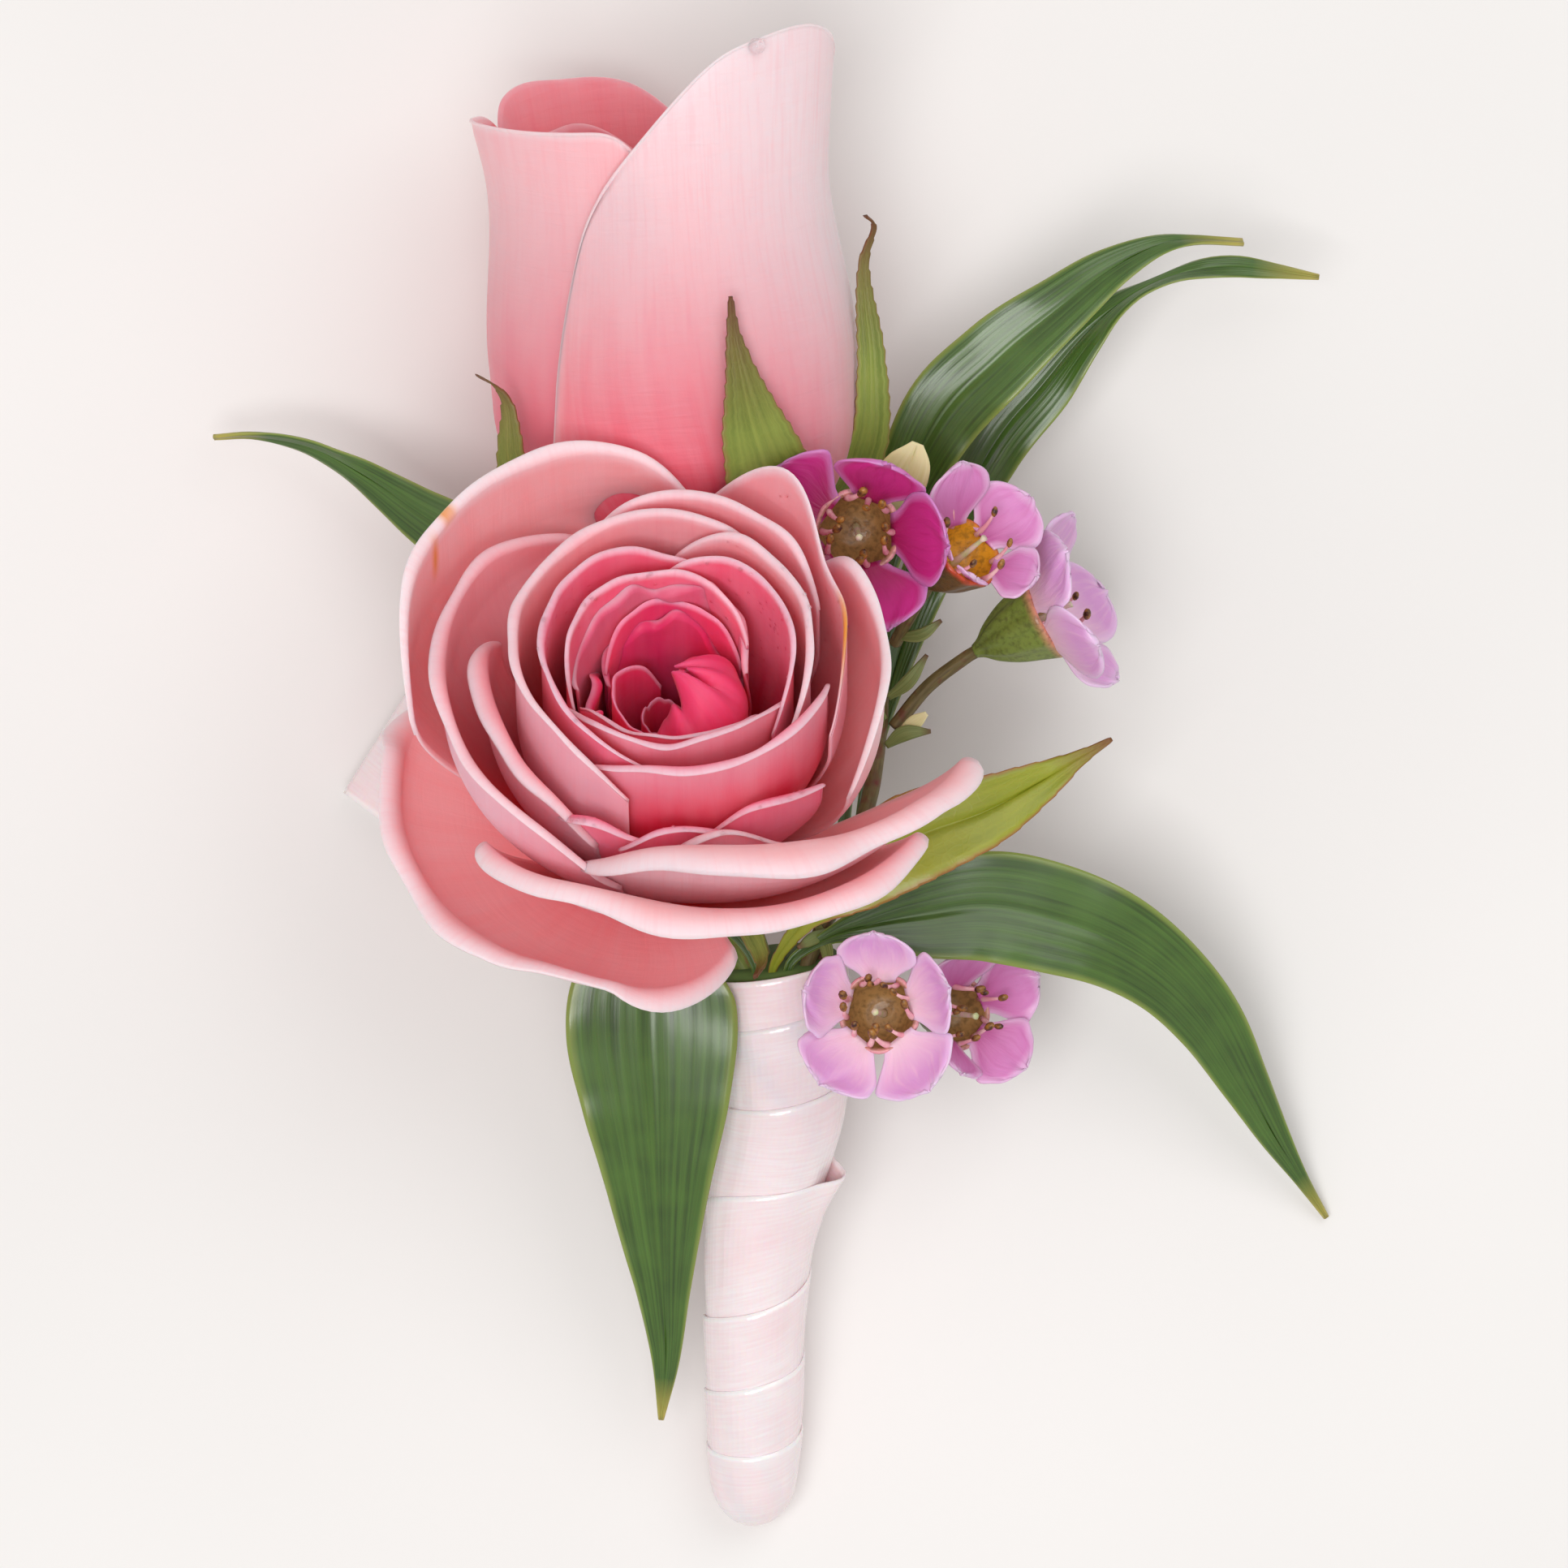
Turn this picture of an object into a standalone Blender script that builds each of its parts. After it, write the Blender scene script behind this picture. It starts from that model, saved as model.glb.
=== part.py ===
"""A boutonniere, lying on its back: an open spray rose, a rosebud, five ruscus leaves, a young rose
leaf and two sprigs of wax flower, bound with floral tape and wrapped with satin ribbon.

The frame is in millimetres until a mesh is made: +Y runs from the ribbon handle to the rosebud, +X
to the wearer's side with the wax flowers, +Z away from the table that the back lies on.
"""

import math

import bpy
import numpy as np

MM = 0.001

# ---- Driving dimensions, in millimetres and degrees ----

ROSE_BASE = (-10.1, -1.4, 28.0)  # top of the open rose's receptacle
ROSE_TILT = 35.0  # how far its axis leans from straight up towards the bud
ROSE_DOME = (6.4, 5.4)  # radius and height of the dome that the petals grow from
ROSE_REACH = 30.0  # furthest petal
ROSE_PETAL = 0.34  # thickness

BUD_BASE = (-9.4, 24.8, 13.6)
BUD_AXIS = (-0.045, 0.955, 0.292)
BUD_BELLY = 17.0  # height above the base where the bud is widest
BUD_REACH = 18.9
BUD_DOME = (6.3, 3.0)
BUD_PETAL = 0.5

SET_DOWN = (0.02, 0.54, 0.18)  # puts the origin under the middle of the finished bouquet
SEAT = 0.3  # gap left where one piece sits on another
LEAF = 0.45  # leaf thickness
RIBBON_WALL = 0.6  # two turns of satin
TAPE_WALL = 0.5

# centre line and outside radius of the wrapped handle, from its mouth to its end
HANDLE = (
    ((0.2, -16.5, 19.6), 7.3),
    ((0.9, -23.0, 18.0), 6.8),
    ((1.1, -31.0, 16.0), 6.2),
    ((-0.9, -41.0, 12.9), 5.6),
    ((-1.7, -52.0, 9.9), 5.1),
    ((-1.8, -63.0, 6.4), 4.8),
    ((-1.9, -71.5, 3.7), 4.1),
    ((-1.9, -74.6, 2.8), 3.2),
)


def clear_scene():
    for thing in list(bpy.data.objects):
        bpy.data.objects.remove(thing)


# ---- Materials ----


def material(name, colour, roughness, metallic=0.0):
    made = bpy.data.materials.new(name)
    made.use_nodes = True
    shader = made.node_tree.nodes["Principled BSDF"]
    shader.inputs["Base Color"].default_value = (*colour, 1.0)
    shader.inputs["Roughness"].default_value = roughness
    shader.inputs["Metallic"].default_value = metallic
    return made


def make_materials():
    return {
        "rose_petal": material("rose_petal", (0.93, 0.28, 0.33), 0.5),
        "rose_heart": material("rose_heart", (0.72, 0.03, 0.12), 0.5),
        "bud_petal": material("bud_petal", (0.96, 0.52, 0.56), 0.5),
        "calyx": material("calyx", (0.16, 0.24, 0.05), 0.5),
        "young_leaf": material("young_leaf", (0.27, 0.36, 0.03), 0.45),
        "ruscus": material("ruscus", (0.03, 0.10, 0.03), 0.35),
        "wax_petal": material("wax_petal", (0.62, 0.14, 0.45), 0.5),
        "wax_stem": material("wax_stem", (0.20, 0.18, 0.07), 0.55),
        "satin": material("satin", (0.92, 0.80, 0.82), 0.4),
        "tape": material("tape", (0.12, 0.22, 0.08), 0.7),
    }


# ---- Vectors, curves and frames ----


def unit(v):
    v = np.asarray(v, float)
    return v / np.linalg.norm(v, axis=-1, keepdims=True)


def flower_frame(base, axis, right=(1.0, 0.0, 0.0)):
    """The base point and three unit directions: right, up and along the axis."""
    axis = unit(axis)
    up = unit(np.cross(axis, right))
    return np.asarray(base, float), np.cross(up, axis), up, axis


def lying_frame(base, axis):
    """The same for a bud that lies down, with its own up direction away from the table."""
    axis = unit(axis)
    front = unit(np.cross((1.0, 0.0, 0.0), axis))
    return np.asarray(base, float), np.cross(axis, front), front, axis


def around(frame, radius, angle, height):
    """Points given by distance from the axis, angle in degrees and height along the axis."""
    base, right, up, axis = frame
    turn = np.radians(angle)
    return (
        base
        + (radius * np.cos(turn))[..., None] * right
        + (radius * np.sin(turn))[..., None] * up
        + np.asarray(height, float)[..., None] * axis
    )


def smooth_path(points, count):
    """Evenly spread points on a Catmull-Rom curve through the given ones, any number of columns."""
    points = np.asarray(points, float)
    ends = (2 * points[0] - points[1], 2 * points[-1] - points[-2])
    padded = np.vstack([ends[0], points, ends[1]])
    dense = []
    for k in range(1, len(padded) - 2):
        a, b, c, d = padded[k - 1 : k + 3]
        for t in np.linspace(0, 1, 24, endpoint=False):
            dense.append(
                0.5
                * (
                    2 * b
                    + (c - a) * t
                    + (2 * a - 5 * b + 4 * c - d) * t**2
                    + (3 * b - a - 3 * c + d) * t**3
                )
            )
    dense = np.array([*dense, points[-1]])
    steps = np.linalg.norm(np.diff(dense[:, :3], axis=0), axis=1)
    along = np.concatenate([[0], np.cumsum(steps)])
    wanted = np.linspace(0, along[-1], count)
    return np.stack([np.interp(wanted, along, dense[:, k]) for k in range(dense.shape[1])], 1)


def through(values, u):
    """The curve through values spread evenly over u from -1 to 1."""
    return np.interp(u, np.linspace(-1, 1, len(values)), values)


def ease(x):
    x = np.clip(x, 0, 1)
    return x * x * (3 - 2 * x)


# ---- Meshes ----


def signed_volume(points, faces):
    total = 0.0
    for face in faces:
        first = points[face[0]]
        for second, third in zip(face[1:-1], face[2:]):
            total += np.dot(first, np.cross(points[second], points[third]))
    return total / 6


def add_solid(name, points, faces, look):
    """One closed object, from millimetres, with its faces turned outwards."""
    points = np.asarray(points, float)
    if signed_volume(points, faces) < 0:
        faces = [face[::-1] for face in faces]
    mesh = bpy.data.meshes.new(name)
    mesh.from_pydata(((points + SET_DOWN) * MM).tolist(), [], faces)
    mesh.materials.append(look)
    for polygon in mesh.polygons:
        polygon.use_smooth = True
    thing = bpy.data.objects.new(name, mesh)
    bpy.context.scene.collection.objects.link(thing)
    return thing


def sheet(name, grid, thickness, look):
    """A closed sheet whose middle surface is the grid, rows by columns."""
    rows, columns, _ = grid.shape
    normal = unit(np.cross(np.gradient(grid, axis=1), np.gradient(grid, axis=0)))
    half = np.broadcast_to(np.asarray(thickness, float) / 2, (rows, columns))[..., None]
    front, behind = grid + normal * half, grid - normal * half
    points = np.concatenate([front.reshape(-1, 3), behind.reshape(-1, 3)])
    back = rows * columns
    faces = []
    for i in range(rows - 1):
        for j in range(columns - 1):
            a = i * columns + j
            faces.append((a, a + 1, a + 1 + columns, a + columns))
            faces.append((back + a, back + a + columns, back + a + 1 + columns, back + a + 1))
    loop = (
        [(0, j) for j in range(columns)]
        + [(i, columns - 1) for i in range(1, rows)]
        + [(rows - 1, j) for j in range(columns - 2, -1, -1)]
        + [(i, 0) for i in range(rows - 2, 0, -1)]
    )
    for (i, j), (k, m) in zip(loop, loop[1:] + loop[:1]):
        a, b = i * columns + j, k * columns + m
        faces.append((b, a, back + a, back + b))
    return add_solid(name, points, faces, look)


def transported(path):
    """Two unit directions across the path at each point, turning with it and never twisting."""
    tangent = unit(np.gradient(path, axis=0))
    across = unit(np.cross(tangent[0], (0.0, 0.0, 1.0)) + (1e-6, 0, 0))
    first, second = [], []
    for t in tangent:
        across = unit(across - t * np.dot(across, t))
        first.append(across)
        second.append(np.cross(t, across))
    return np.array(first), np.array(second)


def lofted(name, rings, look):
    """A closed solid through rings of equal size, capped flat at both ends."""
    count, around_it = len(rings), len(rings[0])
    points = np.concatenate([*rings, rings[0].mean(0)[None], rings[-1].mean(0)[None]])
    faces = []
    for i in range(count - 1):
        for j in range(around_it):
            a, b = i * around_it + j, i * around_it + (j + 1) % around_it
            faces.append((a, b, b + around_it, a + around_it))
    first, last = count * around_it, count * around_it + 1
    for j in range(around_it):
        k = (j + 1) % around_it
        faces.append((first, k, j))
        faces.append((last, (count - 1) * around_it + j, (count - 1) * around_it + k))
    return add_solid(name, points, faces, look)


def rings_on(path, radii, sides):
    first, second = transported(path)
    turn = np.linspace(0, 2 * np.pi, sides, endpoint=False)
    rings = []
    for centre, a, b, radius in zip(path, first, second, radii):
        rings.append(centre + radius * (np.cos(turn)[:, None] * a + np.sin(turn)[:, None] * b))
    return rings


def tube(name, stations, count, sides, look):
    """A rod through stations of (x, y, z, radius)."""
    spread = smooth_path(stations, count)
    return lofted(name, rings_on(spread[:, :3], spread[:, 3], sides), look)


def blade(name, path, width, across, look, fold=0.12, columns=5, thickness=LEAF):
    """A blade along a path, its width laid along the across directions and its edges raised by the
    fold, as a share of the half width.
    """
    raised = np.cross(across, unit(np.gradient(path, axis=0)))
    u = np.linspace(-1, 1, columns)[None, :, None]
    half = (width / 2)[:, None, None]
    grid = path[:, None] + half * (u * across[:, None] + fold * np.abs(u) * raised[:, None])
    return sheet(name, grid, thickness, look)


def leaf(name, stations, count, look, **shape):
    """A blade through stations of (x, y, z, width, roll). Roll turns it about its centre line, in
    degrees from lying flat.
    """
    spread = smooth_path(stations, count)
    path, width, roll = spread[:, :3], spread[:, 3], np.radians(spread[:, 4])
    tangent = unit(np.gradient(path, axis=0))
    flat = unit(np.cross(tangent, (0.0, 0.0, 1.0)))
    top = np.cross(flat, tangent)
    across = np.cos(roll)[:, None] * flat + np.sin(roll)[:, None] * top
    return blade(name, path, width, across, look, **shape)


# ---- The two roses' petals ----


def dome_angle(reach, furthest):
    """Where on the receptacle's dome a petal grows, in degrees down from its top."""
    return 78 * (1 - np.exp(-reach * 2.1 / furthest)) / (1 - math.exp(-2.1))


def dome_point(dome, degrees):
    turn = np.radians(degrees)
    return dome[0] * np.sin(turn), -dome[1] * (1 - np.cos(turn))


def rose_shell(reach, share, top, full=None):
    """Distance from the axis and height of a point on a cup-shaped shell. share runs from 0 at the
    shell's foot on the dome to 1 at the top, a height above the dome's own top. full is the rise
    at which the shell has its whole reach.
    """
    foot, low = dome_point(ROSE_DOME, dome_angle(reach, ROSE_REACH))
    rise = SEAT + share * (top - low - SEAT)
    full = 12 + 0.45 * reach if full is None else full
    opened = 1 - (1 - np.clip(rise / full, 0, 1)) ** 1.6
    return foot + (reach - foot) * opened, low + rise


def bud_shell(reach, share, top, full=BUD_BELLY):
    """The same for the bud, whose shells close in again above the belly."""
    foot, low = dome_point(BUD_DOME, 80 * (reach / BUD_REACH) ** 1.6)
    rise = SEAT + share * (top - low - SEAT)
    opened = np.sin(np.pi / 2 * np.clip(rise / full, 0, 1)) ** 0.66
    closing = 1 - 0.13 * ease((rise - 22) / 28)
    return foot + (reach - foot) * opened * closing, low + rise


def petal_grid(
    frame, shell, angles, reach, top, claw=0.75, lip=0.0, curl=0.0, flare=0.0, full=None, size=None
):
    """A petal: a patch of a shell from its foot to its top, and a rolled lip above that.

    angles, reach and top are lists of values read from one side of the petal to the other, lip the
    radius of the rolled edge and curl how far it turns over, in degrees. Flare leans the upper part
    outwards. claw is the share of the width that the foot keeps.
    """
    span = abs(angles[-1] - angles[0])
    columns = int(np.clip(round(span / 18), 6, 12)) if size is None else size[0]
    rows, lip_rows = (6, 1) if size is None else size[1:]
    u = np.linspace(-1, 1, columns)
    angle, far, high = through(angles, u), through(reach, u), through(top, u)
    flared = through(flare, u) if np.ndim(flare) else np.full(columns, flare)
    middle = (angles[0] + angles[-1]) / 2
    v = np.linspace(0, 1, rows) ** 0.85
    extra = {} if full is None else {"full": full}
    radius, height = shell(far[None, :], v[:, None], high[None, :], **extra)
    radius = radius + flared * v[:, None] ** 3
    spread = claw + (1 - claw) * np.sin(np.pi / 2 * np.clip(v / 0.6, 0, 1))
    angle = middle + (angle - middle)[None, :] * spread[:, None]
    if lip_rows:
        out, up = radius[-1] - radius[-2], height[-1] - height[-2]
        long = np.hypot(out, up)
        out, up = out / long, up / long
        turn = np.radians(curl) * np.linspace(0, 1, lip_rows + 1)[1:, None]
        forward, aside = abs(lip) * np.sin(turn), lip * (1 - np.cos(turn))
        radius = np.vstack([radius, radius[-1] + forward * out + aside * up])
        height = np.vstack([height, height[-1] + forward * up - aside * out])
        angle = np.vstack([angle, np.repeat(angle[-1:], lip_rows, axis=0)])
    return around(frame, radius, angle, height)


# From the heart outwards: the angles that a petal spans, its reach and its top from one side to the
# other, and what its edge does.
ROSE_PETALS = {
    "rose_petal_heart_left": dict(
        angles=(105, 290), reach=(4.2, 5.0, 6.2), top=(15, 20, 20, 16), lip=0.4, curl=60
    ),
    "rose_petal_heart_hood": dict(
        angles=(-108, 72), reach=(4.6, 5.1, 5.6), top=(15, 20, 20, 17), lip=-1.4, curl=80
    ),
    "rose_petal_inner_top": dict(
        angles=(40, 148), reach=(7.3, 6.9, 6.5), top=(17, 22, 22, 18), lip=0.4, curl=60
    ),
    "rose_petal_inner_low": dict(
        angles=(200, 338), reach=(8.6, 8.8, 9.2), top=(20, 24, 24, 20), lip=0.4, curl=60
    ),
    "rose_petal_crescent": dict(
        angles=(32, 200), reach=(8.6, 9.0, 9.9), top=(20, 25.5, 26, 22), lip=0.4, curl=80
    ),
    "rose_petal_ring_low": dict(
        angles=(206, 342), reach=(10.4, 11.0, 11.5), top=(22, 26, 26.5, 22), lip=0.4, curl=90
    ),
    "rose_petal_ring_left": dict(
        angles=(82, 262), reach=(11.3, 11.9, 12.6), top=(22, 27, 27, 22), lip=0.45, curl=90
    ),
    "rose_petal_ring_right": dict(
        angles=(-30, 92), reach=(12.4, 11.5, 9.9), top=(22, 26.5, 27, 22), lip=0.3, curl=80
    ),
    "rose_petal_rim_right": dict(
        angles=(-34, 84), reach=(13.9, 13.5, 12.6), top=(22, 27, 28, 22), lip=0.4, curl=90
    ),
    "rose_petal_rim_left": dict(
        angles=(52, 254), reach=(14.3, 14.4, 15.2), top=(23, 28, 28, 28, 23), lip=0.5, curl=100
    ),
    "rose_petal_rim_low": dict(
        angles=(236, 348), reach=(13.5, 14.9, 15.7), top=(22, 26, 27, 24), lip=0.8, curl=110
    ),
    "rose_petal_back_top": dict(
        angles=(28, 118), reach=(16.1, 16.4, 16.4), top=(22, 28, 28, 22), lip=0.5, curl=80
    ),
    "rose_petal_roll_left": dict(
        angles=(160, 244), reach=(17.6, 17.6, 17.6), top=(17, 24, 22, 17), lip=0.7, curl=120
    ),
    "rose_petal_point_right": dict(
        angles=(-20, 84), reach=(16.6, 17.6, 18.6, 20.2), top=(20, 27, 27, 31, 21),
        lip=0.4, curl=60, flare=(0, 0, 0, 2.2, 0),
    ),
    "rose_petal_cup_left": dict(
        angles=(120, 255), reach=(21.5, 21.8, 21.4), top=(17, 23, 23, 17), lip=0.8, curl=100
    ),
    "rose_petal_side_right": dict(
        angles=(-32, 44), reach=(21.0, 20.8, 20.8), top=(17, 24, 25, 18), lip=0.4, curl=60
    ),
    "rose_petal_front": dict(
        angles=(250, 345), reach=(20.4, 22.0, 26.0, 30.4), top=(18, 22.5, 23, 22, 20), lip=2.0, curl=110
    ),
    "rose_petal_back_left": dict(
        angles=(84, 188), reach=(19.4, 24.4, 25.8, 25.0), top=(20, 27, 28, 27, 19), lip=0.6, curl=60
    ),
    "rose_petal_guard_front": dict(
        angles=(222, 328), reach=(24.4, 24.8, 27.6, 30.6), top=(15, 19, 20, 19, 16), lip=1.6, curl=110
    ),
    "rose_petal_guard_left": dict(
        angles=(166, 288), reach=(29.5, 29.4, 26.6), top=(9, 12, 12, 11, 8), lip=1.6, curl=50, full=9.0
    ),
}


def build_rose(looks):
    lean = math.radians(ROSE_TILT)
    frame = flower_frame(ROSE_BASE, (0, math.sin(lean), math.cos(lean)))
    for name, shape in ROSE_PETALS.items():
        look = looks["rose_heart"] if "heart" in name else looks["rose_petal"]
        sheet(name, petal_grid(frame, rose_shell, **shape), ROSE_PETAL, look)
    core = [(SEAT, 0.5), (1.5, 1.1), (6, 1.7), (12, 2.2), (16, 2.0), (18, 1.2)]
    base, _, _, axis = frame
    stations = [(*(base + axis * height), radius) for height, radius in core]
    tube("rose_core", stations, 8, 10, looks["rose_heart"])
    rose_stem("rose_stem", frame, ROSE_DOME, 7.5, ROSE_STEM, looks["calyx"])
    return frame


def rose_stem(name, frame, dome, neck, stations, look):
    """A receptacle, its hip and the stem below, from the top of the dome to the cut end."""
    base, _, _, axis = frame
    found = []
    for degrees in (12, 35, 58, 80):
        radius, height = dome_point(dome, degrees)
        found.append((height, radius))
    lowest = found[-1][0]
    found += [(lowest - 1.6, dome[0] * 0.92), (lowest - 4, dome[0] * 0.66), (lowest - neck, 1.8)]
    hip = np.array([(*(base + axis * height), radius) for height, radius in found])
    stem = smooth_path([hip[-1], *stations], 22)
    spread = np.vstack([hip, stem[1:]])
    lofted(name, rings_on(spread[:, :3], spread[:, 3], 12), look)


ROSE_STEM = (
    (-9.0, -11.0, 16.0, 1.5),
    (-6.2, -13.2, 18.2, 1.45),
    (-3.2, -16.8, 20.2, 1.4),
    (-0.6, -23.0, 19.8, 1.35),
    (-0.1, -31.0, 17.6, 1.35),
    (-2.1, -41.0, 14.5, 1.3),
    (-2.9, -52.0, 11.3, 1.3),
    (-2.5, -64.0, 7.2, 1.1),
)
BUD_STEM = (
    (-8.2, 6.0, 9.6, 1.5),
    (-5.4, -5.0, 11.2, 1.45),
    (-1.6, -16.2, 16.2, 1.4),
    (0.7, -23.0, 16.1, 1.35),
    (0.9, -31.0, 14.2, 1.35),
    (-1.1, -41.0, 11.1, 1.3),
    (-1.7, -52.0, 8.2, 1.25),
    (-1.4, -63.0, 5.2, 1.1),
)


# ---- The rosebud ----

# Angles here are from the right of the bud, with 90 towards the viewer.
BUD_PETALS = {
    "bud_petal_inner": dict(angles=(-95, 120), reach=(11.0, 10.8, 10.4), top=(26, 37, 38, 28)),
    "bud_petal_middle": dict(angles=(60, 300), reach=(13.0, 13.6, 14.2), top=(28, 39, 41, 40, 28)),
    "bud_petal_back": dict(
        angles=(150, 190, 240, 277, 330), reach=(15.4, 15.9, 16.2), top=(24, 42, 43.5, 38.5, 20)
    ),
    "bud_petal_left": dict(
        angles=(86, 99, 120, 175, 200, 240),
        reach=(17.2, 17.2, 17.3, 17.4, 17.5),
        top=(36, 43.6, 45.4, 43.4, 40, 24),
        flare=(0, 0, 0, 0.5, 0, 0),
    ),
    "bud_petal_front": dict(
        angles=(128, 121, 110, 84, 62, 30, 8, -25, -65, -110),
        reach=(18.6, 18.8, 18.9, 18.9, 18.9),
        top=(14, 31, 39.6, 48.2, 53.4, 54.2, 50.6, 43, 33, 18),
        flare=(0, 0, 0, 0, 0.4, 1.6, 0.8, 0, 0, 0),
    ),
}


def build_bud(looks):
    frame = lying_frame(BUD_BASE, BUD_AXIS)
    for name, shape in BUD_PETALS.items():
        grid = petal_grid(frame, bud_shell, size=(13, 8, 0), **shape)
        sheet(name, grid, BUD_PETAL, looks["bud_petal"])
    base, _, _, axis = frame
    core = [(SEAT, 0.8), (2, 3.0), (12, 6.0), (24, 6.2), (34, 4.4), (37, 1.6)]
    stations = [(*(base + axis * height), radius) for height, radius in core]
    tube("bud_core", stations, 9, 12, looks["rose_petal"])
    rose_stem("bud_stem", frame, BUD_DOME, 8.5, BUD_STEM, looks["calyx"])
    return frame


# ---- Sepals and leaves ----

# (angle, height, lift off the petals, width) from each sepal's foot on the hip to its tip
BUD_SEPALS = {
    "bud_sepal_front": (
        (56, -3.8, 0.3, 4.0), (54, -1.0, 1.0, 6.0), (54, 4.0, 1.4, 8.2), (60, 10.0, 1.4, 9.6),
        (66, 16.0, 1.5, 7.4), (69, 21.0, 1.6, 3.2), (70, 26.0, 1.9, 1.1), (70, 30.0, 2.4, 0.5),
    ),
    "bud_sepal_right": (
        (14, -3.8, 0.3, 4.0), (14, 0.0, 1.0, 4.4), (13, 8.0, 1.4, 3.6), (12, 16.0, 1.7, 2.6),
        (10, 24.0, 1.8, 1.7), (9, 29.0, 2.6, 0.9), (10, 32.6, 4.6, 0.6), (12, 34.0, 4.2, 0.5),
    ),
    "bud_sepal_left": (
        (142, -3.8, 0.3, 4.0), (141, 0.0, 1.0, 4.4), (140, 8.0, 1.5, 3.6), (140, 14.0, 1.6, 2.2),
        (140, 18.6, 1.7, 1.0), (142, 20.6, 2.6, 0.6), (148, 21.4, 3.2, 0.5),
    ),
    "bud_sepal_back_left": (
        (228, -3.6, 0.3, 4.0), (228, -5.6, 1.4, 3.8), (228, -10.0, 2.0, 2.6), (228, -14.0, 2.4, 0.6),
    ),
    "bud_sepal_back_right": (
        (302, -3.6, 0.3, 4.0), (302, -5.6, 1.4, 3.8), (302, -10.0, 2.0, 2.6), (302, -14.0, 2.4, 0.6),
    ),
}

# (x, y, z, width, roll) from the foot of each blade to its tip
RUSCUS_LEAVES = {
    "ruscus_leaf_left": (
        (-3.9, -20.5, 17.6, 0.8, 0), (-3.3, -16.8, 17.4, 0.9, 0), (-6.0, -12.0, 13.6, 1.2, 0),
        (-13.0, 2.0, 9.5, 3.2, 0), (-20.5, 13.5, 12.0, 7.0, 0), (-25.6, 20.2, 13.4, 7.6, 0),
        (-30.7, 24.8, 13.4, 6.9, 5), (-35.8, 28.2, 12.2, 5.2, 12), (-41.0, 31.8, 10.6, 3.4, 30),
        (-46.4, 34.7, 8.8, 2.0, 45), (-52.0, 35.9, 6.8, 1.1, 60), (-56.4, 35.8, 5.2, 0.6, 60),
    ),
    "ruscus_leaf_right_upper": (
        (4.7, -20.5, 18.4, 0.8, 0), (4.7, -16.6, 19.0, 0.9, 0), (6.6, -8.0, 15.6, 1.2, 0),
        (8.4, 8.0, 12.4, 1.6, 0), (11.0, 24.0, 13.0, 4.2, 0), (16.3, 36.6, 16.0, 8.0, 5),
        (22.4, 43.1, 18.2, 8.2, 8), (28.3, 48.0, 19.2, 6.4, 10), (33.3, 51.8, 19.0, 4.6, 15),
        (38.3, 54.4, 17.6, 2.4, 25), (42.3, 55.1, 16.0, 1.2, 40), (47.1, 55.0, 14.2, 0.9, 40),
    ),
    "ruscus_leaf_right_lower": (
        (3.9, -20.5, 17.0, 0.8, 0), (3.9, -16.4, 17.9, 0.9, 0), (8.0, -8.0, 13.2, 1.2, 0),
        (10.6, 6.0, 9.0, 2.0, 0), (15.6, 22.0, 8.4, 5.2, 0), (21.9, 34.4, 9.8, 6.6, 0),
        (27.1, 40.8, 11.4, 6.4, 5), (31.4, 45.9, 12.6, 4.6, 15), (35.3, 49.2, 12.8, 2.6, 45),
        (39.2, 51.3, 12.2, 1.8, 50), (43.1, 52.4, 11.6, 2.2, 20), (46.9, 52.7, 10.8, 2.2, 10),
        (50.8, 52.3, 9.8, 1.5, 10), (55.0, 51.8, 8.6, 0.6, 0),
    ),
    "ruscus_leaf_right_low": (
        (1.8, -20.5, 22.9, 0.8, 0), (1.8, -17.0, 24.0, 0.9, 0), (5.6, -14.4, 24.2, 1.6, 0),
        (9.6, -13.2, 23.4, 4.4, 0), (14.6, -12.2, 22.2, 8.8, 0), (21.3, -11.4, 21.4, 11.0, 0),
        (27.9, -12.6, 20.4, 11.0, 0), (34.1, -14.8, 18.8, 9.8, 0), (39.5, -18.4, 16.2, 8.2, 0),
        (43.9, -23.2, 12.8, 6.9, 0), (47.5, -29.2, 9.0, 5.0, 0), (50.6, -34.6, 5.6, 3.2, 0),
        (53.4, -39.0, 2.7, 1.6, 0), (56.2, -43.2, 0.6, 0.6, 0),
    ),
    "ruscus_leaf_low": (
        (-1.4, -20.5, 22.6, 0.8, 0), (-1.8, -17.0, 23.5, 0.9, 0), (-4.2, -13.8, 24.0, 1.2, 0),
        (-8.0, -13.2, 24.4, 1.8, 0), (-10.8, -14.8, 25.0, 8.0, 0), (-11.8, -18.6, 25.0, 15.4, 0),
        (-11.9, -24.0, 24.2, 17.0, 0), (-11.6, -31.0, 22.3, 14.6, 0), (-11.4, -38.0, 19.7, 11.0, 0),
        (-11.2, -44.0, 17.0, 8.2, 0), (-10.9, -50.0, 14.2, 5.4, 0), (-10.7, -57.0, 11.0, 2.8, 0),
        (-11.2, -63.2, 8.6, 0.6, 0),
    ),
}

YOUNG_LEAF = (
    (0.2, -20.5, 23.2, 0.9, 0), (0.2, -17.2, 24.2, 1.0, 0), (3.6, -12.4, 27.6, 2.6, 0),
    (8.2, -8.4, 29.4, 7.4, 0), (13.9, -4.6, 29.8, 9.2, 0), (20.9, -2.0, 29.2, 7.2, 0),
    (26.2, 0.8, 28.0, 4.4, 0), (30.2, 3.2, 27.0, 1.8, 0), (33.6, 5.2, 26.6, 0.5, 0),
)


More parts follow.
